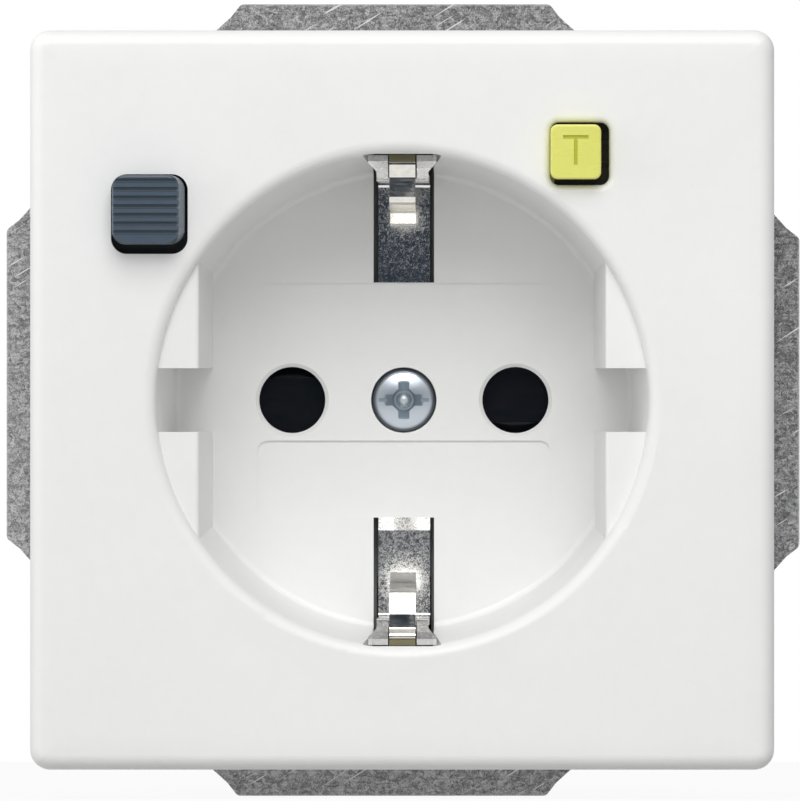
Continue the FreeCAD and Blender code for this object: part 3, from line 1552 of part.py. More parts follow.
nodes = {
    "centre_plate": centre_plate,
    "cover_screw": cover_screw,
    "reset_button": reset_button,
    "test_button": test_button,
    "reset_spring": lambda: button_spring(reset_stem_x, reset_stem_z),
    "test_spring": lambda: button_spring(test_stem_x, test_stem_z),
    "support_frame": support_frame,
    "frame_screws": frame_screws,
    "shutter_rotor": shutter_rotor,
    "shutter_spring": shutter_spring,
    "shutter_washer": shutter_washer,
    "earth_bracket": earth_bracket,
    "earth_spring_top": earth_spring_top,
    "earth_spring_bottom": earth_spring_bottom,
    "earth_strap": earth_strap,
    "front_carrier": front_carrier,
    "rear_housing": rear_housing,
    "housing_screws": housing_screws,
    "live_contact_clip": live_contact_clip,
    "neutral_contact_clip": neutral_contact_clip,
    "live_supply_contact": lambda: supply_contact(live_contacts_x[0]),
    "neutral_supply_contact": lambda: supply_contact(neutral_contacts_x[0]),
    "contact_base": contact_base,
    "contact_bridge": contact_bridge,
    "live_moving_contact": lambda: moving_contact(live_contacts_x),
    "neutral_moving_contact": lambda: moving_contact(neutral_contacts_x),
    "contact_springs": contact_springs,
    "bridge_spring": bridge_spring,
    "relay_yoke": relay_yoke,
    "relay_bobbin": relay_bobbin,
    "relay_coil": relay_coil,
    "trip_plunger": trip_plunger,
    "plunger_spring": plunger_spring,
    "latch_lever": latch_lever,
    "latch_pin": latch_pin,
    "transformer_core": transformer_core,
    "transformer_winding": transformer_winding,
    "transformer_cradle": transformer_cradle,
    "live_lead": lambda: lead(-1, live_contacts_x[0]),
    "neutral_lead": lambda: lead(1, neutral_contacts_x[0]),
    "circuit_board": circuit_board,
    "smoothing_capacitor": smoothing_capacitor,
    "varistor": varistor,
    "control_chip": control_chip,
    "test_resistor": test_resistor,
    "test_leaf": test_leaf,
    "test_leaf_post": test_leaf_post,
    "test_contact": test_contact,
    "live_terminal": lambda: terminal(-1),
    "earth_terminal": lambda: terminal(0),
    "neutral_terminal": lambda: terminal(1),
    "terminal_screws": terminal_screws,
}

os.makedirs("parts", exist_ok=True)
for name, make in nodes.items():
    shape = make()
    shape.exportStep("parts/" + name + ".step")
    print(name, len(shape.Solids), "solids", round(shape.Volume, 2), "mm3", shape.isValid())
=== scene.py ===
import bpy
import bmesh
import json
import math
from mathutils import Matrix, Vector

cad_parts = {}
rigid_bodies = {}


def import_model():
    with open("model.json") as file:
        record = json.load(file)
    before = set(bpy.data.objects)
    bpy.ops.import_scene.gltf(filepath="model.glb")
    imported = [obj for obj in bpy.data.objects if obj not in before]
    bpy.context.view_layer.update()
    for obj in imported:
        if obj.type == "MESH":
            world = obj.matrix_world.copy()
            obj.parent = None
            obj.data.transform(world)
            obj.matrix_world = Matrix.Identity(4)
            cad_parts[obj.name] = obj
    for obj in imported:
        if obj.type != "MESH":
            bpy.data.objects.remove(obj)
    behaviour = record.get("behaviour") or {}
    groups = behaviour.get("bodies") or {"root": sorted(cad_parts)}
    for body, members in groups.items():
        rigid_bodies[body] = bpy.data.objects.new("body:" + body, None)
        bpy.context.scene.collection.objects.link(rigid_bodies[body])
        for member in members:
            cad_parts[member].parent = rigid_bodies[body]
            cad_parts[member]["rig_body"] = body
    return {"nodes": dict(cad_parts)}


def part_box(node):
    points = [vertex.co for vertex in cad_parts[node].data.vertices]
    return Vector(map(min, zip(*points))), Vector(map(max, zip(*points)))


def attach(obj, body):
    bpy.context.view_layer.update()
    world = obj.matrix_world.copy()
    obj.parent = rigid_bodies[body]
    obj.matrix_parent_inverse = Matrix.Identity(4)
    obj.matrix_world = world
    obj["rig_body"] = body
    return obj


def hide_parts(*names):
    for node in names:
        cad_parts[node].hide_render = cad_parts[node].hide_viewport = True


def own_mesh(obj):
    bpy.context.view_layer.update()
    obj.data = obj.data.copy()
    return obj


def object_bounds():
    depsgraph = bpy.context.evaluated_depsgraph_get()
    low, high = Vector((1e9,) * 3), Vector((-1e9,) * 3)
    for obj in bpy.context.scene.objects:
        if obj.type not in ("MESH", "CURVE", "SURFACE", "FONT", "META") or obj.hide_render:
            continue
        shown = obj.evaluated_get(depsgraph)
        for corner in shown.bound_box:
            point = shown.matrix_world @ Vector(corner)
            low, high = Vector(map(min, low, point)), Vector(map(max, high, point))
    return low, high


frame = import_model()
for leftover in ("Cube", "Light", "Camera"):
    if leftover in bpy.data.objects:
        bpy.data.objects.remove(bpy.data.objects[leftover])
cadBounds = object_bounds()
nodes = frame["nodes"]
mm = 0.001
print("model loaded:", len(nodes), "nodes")


# Node helpers. Patterns are written in millimetres, so object coordinates are scaled up to them.

def feed(kit, socket, value):
    if isinstance(value, bpy.types.NodeSocket):
        kit["tree"].links.new(value, socket)
    else:
        socket.default_value = value


def addNode(kit, kind, inputs={}, **settings):
    node = kit["tree"].nodes.new(kind)
    for name, value in settings.items():
        setattr(node, name, value)
    for name, value in inputs.items():
        feed(kit, node.inputs[name], value)
    return node


def startFinish(name):
    finish = bpy.data.materials.new(name)
    finish.use_nodes = True
    finish.node_tree.nodes.clear()
    kit = {"finish": finish, "tree": finish.node_tree}
    kit["shader"] = addNode(kit, "ShaderNodeBsdfPrincipled")
    addNode(kit, "ShaderNodeOutputMaterial", {"Surface": kit["shader"].outputs["BSDF"]})
    coords = addNode(kit, "ShaderNodeTexCoord")
    kit["place"] = addNode(kit, "ShaderNodeMapping", {
        "Vector": coords.outputs["Object"],
        "Scale": (1 / mm,) * 3,
    }).outputs["Vector"]
    return kit


def axes(kit):
    return addNode(kit, "ShaderNodeSeparateXYZ", {"Vector": kit["place"]}).outputs


def stretched(kit, scale, turn=(0, 0, 0)):
    return addNode(kit, "ShaderNodeMapping", {
        "Vector": kit["place"], "Scale": scale, "Rotation": turn,
    }).outputs["Vector"]


def noise(kit, scale, detail=2.0, rough=0.5, place=None, warp=0.0):
    return addNode(kit, "ShaderNodeTexNoise", {
        "Vector": place or kit["place"], "Scale": scale, "Detail": detail,
        "Roughness": rough, "Distortion": warp,
    }).outputs["Fac"]


def between(kit, source, low, high, fromLow=0.0, fromHigh=1.0):
    return addNode(kit, "ShaderNodeMapRange", {
        "Value": source, "From Min": fromLow, "From Max": fromHigh,
        "To Min": low, "To Max": high,
    }).outputs["Result"]


def combine(kit, one, two, how="ADD"):
    node = addNode(kit, "ShaderNodeMath", {0: one, 1: two}, operation=how)
    return node.outputs[0]


def vectorMath(kit, one, two, how):
    return addNode(kit, "ShaderNodeVectorMath", {0: one, 1: two}, operation=how).outputs[0]


def mixTones(kit, one, two, share):
    return combine(kit, between(kit, one, 0.0, share), between(kit, two, 0.0, 1 - share))


def opaque(colour):
    return (*colour, 1)


def shades(kit, source, stops, tones):
    ramp = addNode(kit, "ShaderNodeValToRGB", {"Fac": source})
    marks = ramp.color_ramp.elements
    while len(marks) < len(stops):
        marks.new(0.5)
    for mark, stop, tone in zip(marks, stops, tones):
        mark.position = stop
        mark.color = opaque(tone)
    return ramp.outputs["Color"]


def blendColours(kit, share, one, two):
    node = addNode(kit, "ShaderNodeMix", {0: share}, data_type="RGBA")
    for index, colour in ((6, one), (7, two)):                    # the sockets of a colour mix
        plain = not isinstance(colour, bpy.types.NodeSocket)
        feed(kit, node.inputs[index], opaque(colour) if plain else colour)
    return node.outputs[2]


boxSoftness = 0.06
ringDepthSoftness = 0.05


def insideBox(kit, region):
    # 1 inside a box given in millimetres, 0 outside, with a soft edge
    apart = vectorMath(kit, kit["place"], region["middle"], "SUBTRACT")
    scaled = vectorMath(kit, apart, region["half"], "DIVIDE")
    size = addNode(kit, "ShaderNodeVectorMath", {0: scaled}, operation="ABSOLUTE").outputs[0]
    sides = addNode(kit, "ShaderNodeSeparateXYZ", {"Vector": size}).outputs
    widest = combine(kit, sides["X"], sides["Y"], "MAXIMUM")
    widest = combine(kit, widest, sides["Z"], "MAXIMUM")
    return between(kit, widest, 1.0, 0.0, 1 - region.get("soft", boxSoftness), 1.0)


def insideRing(kit, ring):
    # 1 between two radii about the socket's axis, over a stretch of depth, with soft edges
    place = axes(kit)
    flat = addNode(kit, "ShaderNodeCombineXYZ", {"X": place["X"], "Z": place["Z"]}).outputs[0]
    radius = addNode(kit, "ShaderNodeVectorMath", {0: flat}, operation="LENGTH").outputs["Value"]
    inner, outer = ring["radii"]
    front, back = ring["depths"]
    soft = ring["soft"]
    across = combine(kit, between(kit, radius, 0.0, 1.0, inner - soft, inner + soft),
                     between(kit, radius, 1.0, 0.0, outer, outer + soft), "MULTIPLY")
    deep = combine(kit, between(kit, place["Y"], 0.0, 1.0, front - ringDepthSoftness, front),
                   between(kit, place["Y"], 1.0, 0.0, back, back + ringDepthSoftness), "MULTIPLY")
    return combine(kit, across, deep, "MULTIPLY")


def relief(kit, height, depth):
    return addNode(kit, "ShaderNodeBump", {
        "Height": height, "Distance": depth * mm, "Strength": 1.0,
    }).outputs["Normal"]


def setShader(kit, **values):
    names = {"colour": "Base Color", "rough": "Roughness", "metal": "Metallic",
             "coat": "Coat Weight", "coatRough": "Coat Roughness", "normal": "Normal"}
    for name, value in values.items():
        feed(kit, kit["shader"].inputs[names[name]], value)
    return kit["finish"]


midRange = (0.3, 0.7)                                             # where most of a noise lies


# Moulded plastics

mouldedPlastic = {
    "white_plastic": {
        "deep": (0.835, 0.835, 0.826), "pale": (0.875, 0.875, 0.869), "speck": 0.10,
        "rough": (0.38, 0.48), "grain": 7.0, "grainDepth": 0.0009, "coat": 0.05,
        "crown": {"middle": (0, 0, 0), "half": (31.6, 60, 31.4), "soft": 0.10, "depth": 0.22}},
    "dark_button": {
        "deep": (0.050, 0.076, 0.108), "pale": (0.066, 0.100, 0.140), "speck": 0.12,
        "rough": (0.32, 0.42), "grain": 9.0, "grainDepth": 0.0012, "coat": 0.15,
        # painted shade in the grooves
        "paintedGrooveShade": {"middle": (-21.69, -12.8, 16.11), "half": (2.78, 0.4, 2.9),
                   "front": -12.899, "back": -12.85,
                   "tone": (0.026, 0.040, 0.056), "rough": 0.9},
        # painted shade in the gap round the button
        "shade": {"middle": (-21.39, -8.9, 15.74), "half": (3.5, 0.9, 3.6),
                  "tone": (0.006, 0.008, 0.010)}},
    "yellow_button": {
        "deep": (0.72, 0.72, 0.152), "pale": (0.81, 0.805, 0.196), "speck": 0.08,
        "rough": (0.24, 0.34), "grain": 8.0, "grainDepth": 0.0010, "coat": 0.0,
        "mark": {"middle": (14.71, -11.86, 21.15), "half": (1.12, 0.08, 1.32),
                 "tone": (0.52, 0.52, 0.045)},
        # painted shade in the gap round the button
        "shade": {"middle": (15.3, -9.2, 20.85), "half": (2.5, 1.1, 2.8),
                  "tone": (0.018, 0.018, 0.005)}},
    "dark_plastic": {
        "deep": (0.004, 0.005, 0.007), "pale": (0.007, 0.009, 0.012), "speck": 0.18,
        "rough": (0.12, 0.20), "grain": 6.0, "grainDepth": 0.0010, "coat": 0.0},
    "grey_plastic": {
        "deep": (0.205, 0.21, 0.215), "pale": (0.255, 0.26, 0.265), "speck": 0.16,
        "rough": (0.44, 0.60), "grain": 5.0, "grainDepth": 0.0045, "coat": 0.0},
}

plasticPattern = {
    "flow": {"scale": 0.055, "detail": 3.0, "rough": 0.55, "warp": 0.6},
    "cloud": {"scale": 0.9, "detail": 4.0, "rough": 0.6},
    "flowShare": 0.7, "toneStops": (0.30, 0.70),
    "dust": {"scale": 3.4}, "dustRange": (0.70, 0.82), "dustTone": 0.6,
    "rub": {"scale": 1.0, "detail": 3.0, "rough": 0.6},
    "rubStretch": (0.35, 0.35, 2.2), "rubTurn": (0, 0.5, 0),
    "coatRough": 0.18,
}


def makePlastic(name, plastic):
    kit = startFinish(name)
    pattern = plasticPattern
    # pigment that drifts slowly, with a few darker specks
    tone = mixTones(kit, noise(kit, **pattern["flow"]), noise(kit, **pattern["cloud"]),
                    pattern["flowShare"])
    colour = shades(kit, tone, pattern["toneStops"], (plastic["deep"], plastic["pale"]))
    dots = between(kit, noise(kit, **pattern["dust"]), 0.0, plastic["speck"], *pattern["dustRange"])
    colour = blendColours(kit, dots, colour, [pattern["dustTone"] * c for c in plastic["deep"]])
    rub = noise(kit, place=stretched(kit, pattern["rubStretch"], pattern["rubTurn"]), **pattern["rub"])
    rough = between(kit, rub, *plastic["rough"], *midRange)
    height = noise(kit, plastic["grain"])
    # the sunk letter of one button drawn darker, and painted shade in the gap round each button
    for region in ("mark", "shade"):
        if region in plastic:
            share = insideBox(kit, plastic[region])
            colour = blendColours(kit, share, colour, plastic[region]["tone"])
    # painted shade darkens the grooves, which are also rougher
    if "paintedGrooveShade" in plastic:
        paintedGrooveShade = plastic["paintedGrooveShade"]
        sunk = between(kit, axes(kit)["Y"], 0.0, 1.0, paintedGrooveShade["front"], paintedGrooveShade["back"])
        share = combine(kit, sunk, insideBox(kit, paintedGrooveShade), "MULTIPLY")
        colour = blendColours(kit, share, colour, paintedGrooveShade["tone"])
        rough = between(kit, share, rough, paintedGrooveShade["rough"])
    # the plate falls off a little towards its edges
    if "crown" in plastic:
        crown = plastic["crown"]
        fall = between(kit, insideBox(kit, crown), 1.0, 0.0)
        fall = combine(kit, fall, fall, "MULTIPLY")
        fall = combine(kit, fall, crown["depth"] / plastic["grainDepth"], "MULTIPLY")
        height = combine(kit, height, fall, "SUBTRACT")
    return setShader(kit, colour=colour, rough=rough,
                     coat=plastic["coat"], coatRough=pattern["coatRough"],
                     normal=relief(kit, height, plastic["grainDepth"]))


# Metals

plainMetal = {
    "spring_steel": {
        "dark": (0.70, 0.685, 0.64), "light": (0.90, 0.88, 0.82), "rough": (0.10, 0.26),
        "brush": (0.6, 0.6, 9.0), "scratch": 0.0016, "cloud": 0.8,
        # painted shade on the hooked ends
        "paintedHookShade": {"middles": ((0, -7.6, 20.65), (0, -7.6, -20.65)), "half": (1.3, 0.9, 0.5),
                  "tone": (0.34, 0.32, 0.20)}},
    "brass": {
        "dark": (0.42, 0.27, 0.085), "light": (0.72, 0.50, 0.20), "rough": (0.22, 0.42),
        "brush": (0.8, 6.0, 0.8), "scratch": 0.0014, "cloud": 0.35},
    "silver_contact": {
        "dark": (0.55, 0.54, 0.51), "light": (0.83, 0.82, 0.79), "rough": (0.20, 0.36),
        "brush": (5.0, 0.7, 0.7), "scratch": 0.0012, "cloud": 0.6},
    "iron_core": {
        "dark": (0.055, 0.056, 0.060), "light": (0.15, 0.15, 0.155), "rough": (0.40, 0.62),
        "brush": (0.5, 7.0, 0.5), "scratch": 0.0040, "cloud": 0.5},
    "capacitor_can": {
        "dark": (0.50, 0.50, 0.51), "light": (0.76, 0.76, 0.77), "rough": (0.24, 0.36),
        "brush": (0.6, 8.0, 8.0), "scratch": 0.0010, "cloud": 0.9},
}

metalPattern = {
    "lines": {"scale": 1.0, "detail": 3.0, "rough": 0.65},
    "cloud": {"detail": 3.0, "rough": 0.5, "warp": 0.8},
    "linesShare": 0.45, "toneStops": (0.32, 0.66), "roughRange": (0.12, 0.42),
}


def makeMetal(name, metal):
    kit = startFinish(name)
    pattern = metalPattern
    lines = noise(kit, place=stretched(kit, metal["brush"]), **pattern["lines"])
    cloud = noise(kit, metal["cloud"], **pattern["cloud"])
    tone = mixTones(kit, lines, cloud, pattern["linesShare"])
    colour = shades(kit, tone, pattern["toneStops"], (metal["dark"], metal["light"]))
    # painted shade on the hooked ends
    paintedHookShade = metal.get("paintedHookShade", {"middles": ()})
    for middle in paintedHookShade["middles"]:
        share = insideBox(kit, {"middle": middle, "half": paintedHookShade["half"]})
        colour = blendColours(kit, share, colour, paintedHookShade["tone"])
    worn = combine(kit, lines, cloud, "MULTIPLY")
    return setShader(kit, colour=colour, metal=1.0,
                     rough=between(kit, worn, *metal["rough"], *pattern["roughRange"]),
                     normal=relief(kit, lines, metal["scratch"]))


galvanised = {
    "tones": (0.11, 0.31, 0.66), "toneStops": (0.38, 0.52, 0.67), "metal": 0.6,
    "spangle": 3.6, "wander": {"scale": 0.8, "detail": 3.0, "swing": 1.5},
    "pits": {"scale": 8.5, "detail": 3.0, "rough": 0.7},
    "feathers": {"scale": 1.0, "detail": 3.0, "rough": 0.7},
    "featherStretch": (1.0, 1.0, 4.5), "featherTurn": (0, 0.7, 0),
    "spangleShare": 0.16, "pitShare": 0.62, "featherShare": 0.26,
    # painted light and shade across the tabs
    "paintedLightFalloff": {"reach": 34.0, "X": (0.030, -0.030), "Z": (0.032, -0.020)},
    "rough": (0.30, 0.55), "pitDepth": 0.008, "facetShare": 0.3,
    # painted highlight along the tabs' outer edges
    "edge": {"middle": (0, 0, 0), "half": (33.62, 9.0, 33.57), "soft": 0.005,
             "tone": 0.62, "share": 0.6},
    "scratch": {"size": (5.0, 1.0, 0.26), "turn": -0.55, "range": (0.76, 0.80), "tone": 0.86},
}


def makeGalvanised():
    kit = startFinish("galvanised_steel")
    # zinc crystals with wandering outlines, fine pits and feathery lines
    wander = galvanised["wander"]
    swing = addNode(kit, "ShaderNodeTexNoise", {
        "Vector": kit["place"], "Scale": wander["scale"], "Detail": wander["detail"],
    }).outputs["Color"]
    swing = vectorMath(kit, swing, (wander["swing"],) * 3, "MULTIPLY")
    crystals = addNode(kit, "ShaderNodeTexVoronoi", {
        "Vector": vectorMath(kit, kit["place"], swing, "ADD"), "Scale": galvanised["spangle"]})
    crystals = addNode(kit, "ShaderNodeSeparateColor", {"Color": crystals.outputs["Color"]}).outputs
    pits = noise(kit, **galvanised["pits"])
    feathers = noise(kit, place=stretched(kit, galvanised["featherStretch"], galvanised["featherTurn"]),
                     **galvanised["feathers"])
    tone = combine(kit, between(kit, crystals[0], 0.0, galvanised["spangleShare"]),
                   between(kit, pits, 0.0, galvanised["pitShare"]))
    tone = combine(kit, tone, between(kit, feathers, 0.0, galvanised["featherShare"]))
    # painted light and shade: the zinc is drawn lighter towards the lower left and darker towards the
    # upper right
    paintedLightFalloff = galvanised["paintedLightFalloff"]
    for axis in ("X", "Z"):
        part = between(kit, axes(kit)[axis], *paintedLightFalloff[axis], -paintedLightFalloff["reach"], paintedLightFalloff["reach"])
        tone = combine(kit, tone, part)
    colour = shades(kit, tone, galvanised["toneStops"], [(level,) * 3 for level in galvanised["tones"]])
    # thin slanting scratches
    scratch = galvanised["scratch"]
    slanted = addNode(kit, "ShaderNodeMapping", {
        "Vector": kit["place"], "Scale": scratch["size"], "Rotation": (0, scratch["turn"], 0),
    }, vector_type="TEXTURE").outputs["Vector"]
    streaks = noise(kit, 1.0, detail=0.0, place=slanted)
    colour = blendColours(kit, between(kit, streaks, 0.0, 1.0, *scratch["range"]),
                          colour, (scratch["tone"],) * 3)
    # painted highlight along the tabs' outer edges
    edge = galvanised["edge"]
    paintedEdgeHighlight = between(kit, insideBox(kit, edge), edge["share"], 0.0)
    colour = blendColours(kit, paintedEdgeHighlight, colour, (edge["tone"],) * 3)
    height = combine(kit, pits, between(kit, crystals[1], 0.0, galvanised["facetShare"]))
    return setShader(kit, colour=colour, metal=galvanised["metal"],
                     rough=between(kit, pits, *galvanised["rough"], *midRange),
                     normal=relief(kit, height, galvanised["pitDepth"]))


platedSteel = {
    "dark": (0.74, 0.74, 0.745), "light": (0.93, 0.925, 0.91), "toneStops": (0.36, 0.64),
    "flecks": {"scale": 4.2, "detail": 5.0, "rough": 0.72, "warp": 1.2},
    "cloud": {"scale": 0.45, "detail": 3.0, "rough": 0.5}, "fleckShare": 0.75,
    "rough": (0.07, 0.44), "roughRange": (0.42, 0.72),
    "ripple": {"scale": 1.6, "detail": 3.0, "rough": 0.6}, "rippleDepth": 0.0052, "fleckHeight": 0.3,
    "wiped": {"middle": (0, 12, -15), "half": (2.6, 6, 6), "rougher": 0.06},
    "dip": {"middle": (0, 2, 0), "half": (6, 14, 60), "from": -11.1, "to": -9.8, "rise": 0.42},
}

screwZones = {
    "head": {"radii": (-1, 3.0), "depths": (6.5, 9.2), "soft": 0.10,
             "tone": (0.57, 0.62, 0.67), "rough": 0.30},
    # painted shade in the seam round the head
    "seam": {"radii": (2.40, 3.0), "depths": (6.5, 9.2), "soft": 0.10,
             "tone": (0.21, 0.24, 0.27), "rough": 0.30},
    # painted shade in the recess
    "recess": {"radii": (-1, 2.12), "depths": (7.57, 8.6), "soft": 0.05,
               "tone": (0.40, 0.46, 0.51), "rough": 0.42},
    "pip": {"radii": (-1, 0.62), "depths": (7.57, 8.6), "soft": 0.06,
            "tone": (0.62, 0.67, 0.69), "rough": 0.46},
}


def makePlatedSteel():
    kit = startFinish("bright_steel")
    # bright zinc plate with cloudy flecks, duller on the strip behind the lower window
    flecks = noise(kit, **platedSteel["flecks"])
    tone = mixTones(kit, flecks, noise(kit, **platedSteel["cloud"]), platedSteel["fleckShare"])
    colour = shades(kit, tone, platedSteel["toneStops"], (platedSteel["dark"], platedSteel["light"]))
    rough = between(kit, flecks, *platedSteel["rough"], *platedSteel["roughRange"])
    wiped = platedSteel["wiped"]
    rough = combine(kit, rough, between(kit, insideBox(kit, wiped), 0.0, wiped["rougher"]))
    # the cover screw is duller, with painted shade in its recess and in the seam round its head
    for zone in screwZones.values():
        share = insideRing(kit, zone)
        colour = blendColours(kit, share, colour, zone["tone"])
        rough = between(kit, share, rough, zone["rough"])
    height = combine(kit, noise(kit, **platedSteel["ripple"]),
                     between(kit, flecks, 0.0, platedSteel["fleckHeight"]))
    # the strip dips at the top of the lower window
    dip = platedSteel["dip"]
    rise = between(kit, axes(kit)["Z"], 0.0, dip["rise"] / platedSteel["rippleDepth"],
                   dip["from"], dip["to"])
    height = combine(kit, height, combine(kit, rise, insideBox(kit, dip), "MULTIPLY"))
    return setShader(kit, colour=colour, metal=1.0, rough=rough,
                     normal=relief(kit, height, platedSteel["rippleDepth"]))


# Wound wire, cable insulation, board and ceramics

enamelWire = {
    "dark": (0.30, 0.085, 0.030), "light": (0.62, 0.22, 0.085), "toneStops": (0.30, 0.70),
    "cloud": {"scale": 1.4, "detail": 3.0, "rough": 0.6}, "cloudShare": 0.7,
    "streak": {"scale": 6.0}, "rough": (0.20, 0.36), "metal": 0.9,
    "coat": 0.5, "coatRough": 0.12, "streakDepth": 0.0012,
}


def makeEnamelWire():
    kit = startFinish("copper")
    streak = noise(kit, **enamelWire["streak"])
    tone = mixTones(kit, noise(kit, **enamelWire["cloud"]), streak, enamelWire["cloudShare"])
    colour = shades(kit, tone, enamelWire["toneStops"], (enamelWire["dark"], enamelWire["light"]))
    return setShader(kit, colour=colour, metal=enamelWire["metal"],
                     rough=between(kit, streak, *enamelWire["rough"], *midRange),
                     coat=enamelWire["coat"], coatRough=enamelWire["coatRough"],
                     normal=relief(kit, streak, enamelWire["streakDepth"]))


insulation = {
    "brown_lead": {"deep": (0.065, 0.026, 0.012), "pale": (0.105, 0.045, 0.022)},
    "blue_lead": {"deep": (0.012, 0.045, 0.19), "pale": (0.028, 0.080, 0.27)},
}

insulationPattern = {
    "cloud": {"scale": 0.7, "detail": 3.0, "rough": 0.55}, "toneStops": (0.32, 0.68),
    "dust": {"scale": 5.0}, "rough": (0.34, 0.52), "dustDepth": 0.003,
}


def makeInsulation(name, cable):
    kit = startFinish(name)
    pattern = insulationPattern
    colour = shades(kit, noise(kit, **pattern["cloud"]), pattern["toneStops"],
                    (cable["deep"], cable["pale"]))
    dust = noise(kit, **pattern["dust"])
    return setShader(kit, colour=colour, rough=between(kit, dust, *pattern["rough"], *midRange),
                     normal=relief(kit, dust, pattern["dustDepth"]))


boardLaminate = {
    "mask": (0.012, 0.090, 0.035), "maskPale": (0.020, 0.135, 0.055), "maskStops": (0.25, 0.80),
    "weave": {"Scale": 2.4, "Distortion": 0.4, "Detail": 1.0}, "rough": (0.30, 0.42),
    "track": (0.035, 0.20, 0.080), "pitch": 1.9, "trackLength": 3, "trackRange": (0.40, 0.42),
    "trackDepth": 0.012, "coat": 0.3, "coatRough": 0.15,
}


def makeBoard():
    kit = startFinish("board")
    weave = addNode(kit, "ShaderNodeTexWave", {
        "Vector": kit["place"], **boardLaminate["weave"]}).outputs["Fac"]
    mask = shades(kit, weave, boardLaminate["maskStops"],
                  (boardLaminate["mask"], boardLaminate["maskPale"]))
    # tracks are square cells, narrow along X, long along Z and the same at any depth
    narrow = 1 / boardLaminate["pitch"]
    cells = stretched(kit, (narrow, 0.001, narrow / boardLaminate["trackLength"]))
    tracks = addNode(kit, "ShaderNodeTexVoronoi", {"Vector": cells, "Scale": 1.0},
                     distance="CHEBYCHEV").outputs["Distance"]
    onTrack = between(kit, tracks, 1.0, 0.0, *boardLaminate["trackRange"])
    colour = blendColours(kit, onTrack, mask, boardLaminate["track"])
    return setShader(kit, colour=colour, rough=between(kit, weave, *boardLaminate["rough"]),
                     coat=boardLaminate["coat"], coatRough=boardLaminate["coatRough"],
                     normal=relief(kit, onTrack, boardLaminate["trackDepth"]))


ceramicBody = {
    "dark": (0.025, 0.10, 0.20), "light": (0.045, 0.16, 0.29), "toneStops": (0.30, 0.72),
    "cloud": {"scale": 0.8, "detail": 4.0, "rough": 0.6},
    "pores": {"scale": 6.0, "detail": 3.0, "rough": 0.6}, "rough": (0.28, 0.46),
    "coat": 0.2, "coatRough": 0.2, "poreDepth": 0.004,
}


def makeCeramic():
    kit = startFinish("ceramic")
    colour = shades(kit, noise(kit, **ceramicBody["cloud"]), ceramicBody["toneStops"],
                    (ceramicBody["dark"], ceramicBody["light"]))
    pores = noise(kit, **ceramicBody["pores"])
    return setShader(kit, colour=colour, rough=between(kit, pores, *ceramicBody["rough"], *midRange),
                     coat=ceramicBody["coat"], coatRough=ceramicBody["coatRough"],
                     normal=relief(kit, pores, ceramicBody["poreDepth"]))


finishes = {}
for name, plastic in mouldedPlastic.items():
    finishes[name] = makePlastic(name, plastic)
for name, metal in plainMetal.items():
    finishes[name] = makeMetal(name, metal)
for name, cable in insulation.items():
    finishes[name] = makeInsulation(name, cable)
finishes["galvanised_steel"] = makeGalvanised()
finishes["bright_steel"] = makePlatedSteel()
finishes["copper"] = makeEnamelWire()
finishes["board"] = makeBoard()
finishes["ceramic"] = makeCeramic()

for node in nodes.values():
    for holder in node.material_slots:
        slotName = holder.material.name.split(".")[0]
        holder.material = finishes[slotName]
print("finishes made:", len(finishes))


# New pieces. Each coil is spun along Y from a small ring, then moved to its node's place.

weldGap = 1e-7
sharpAngle = 50


def finishPiece(mesh, name, node, slot):
    bmesh.ops.remove_doubles(mesh, verts=mesh.verts, dist=weldGap)
    bmesh.ops.recalc_face_normals(mesh, faces=mesh.faces)
    for face in mesh.faces:
        face.smooth = True
    for edge in mesh.edges:
        edge.smooth = edge.calc_face_angle(0) < math.radians(sharpAngle)
    piece = addObject(mesh, name)
    piece.data.materials.append(finishes[slot])
    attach(piece, nodes[node]["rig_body"])
    return piece


def addObject(mesh, name):
    data = bpy.data.meshes.new(name)
    mesh.to_mesh(data)
    mesh.free()
    thing = bpy.data.objects.new(name, data)
    bpy.context.scene.collection.objects.link(thing)
    return thing


def pointsOf(geometry):
    return [part for part in geometry if isinstance(part, bmesh.types.BMVert)]


def coilAlongY(length, outerRadius, coil):
    # a flat end turn, the open turns and another flat end turn, each spun on from the last
    mesh = bmesh.new()
    wire = coil["wire"] * mm
    ring = bmesh.ops.create_circle(mesh, segments=coil["sides"], radius=wire / 2)["verts"]
    bmesh.ops.translate(mesh, verts=ring, vec=(outerRadius - wire / 2, wire / 2, 0))
    last = list(mesh.verts) + list(mesh.edges)
    endRise = wire * coil["endTurns"]
    for turns, rise in ((coil["endTurns"], endRise),
                        (coil["turns"], length - wire - 2 * endRise),
                        (coil["endTurns"], endRise)):
        steps = max(1, round(turns * coil["stepsPerTurn"]))
        spun = bmesh.ops.spin(mesh, geom=last, cent=(0, 0, 0), axis=(0, 1, 0),
                              dvec=(0, rise / steps, 0), angle=2 * math.pi * turns,
                              steps=steps, use_merge=False, use_duplicate=False)
        last = spun["geom_last"]
    openEdges = [edge for edge in mesh.edges if edge.is_boundary]
    bmesh.ops.holes_fill(mesh, edges=openEdges, sides=0)
    return mesh


def layAlongX(mesh, place):
    turn = Matrix.Rotation(math.radians(-90), 3, "Z")
    bmesh.ops.rotate(mesh, verts=mesh.verts, cent=(0, 0, 0), matrix=turn)
    bmesh.ops.translate(mesh, verts=mesh.verts, vec=place)


def addRectangle(mesh, width, height, middle):
    corners = bmesh.ops.create_grid(mesh, x_segments=1, y_segments=1, size=0.5)["verts"]
    bmesh.ops.scale(mesh, verts=corners, vec=(width, height, 1))
    bmesh.ops.translate(mesh, verts=corners, vec=middle)
    return corners


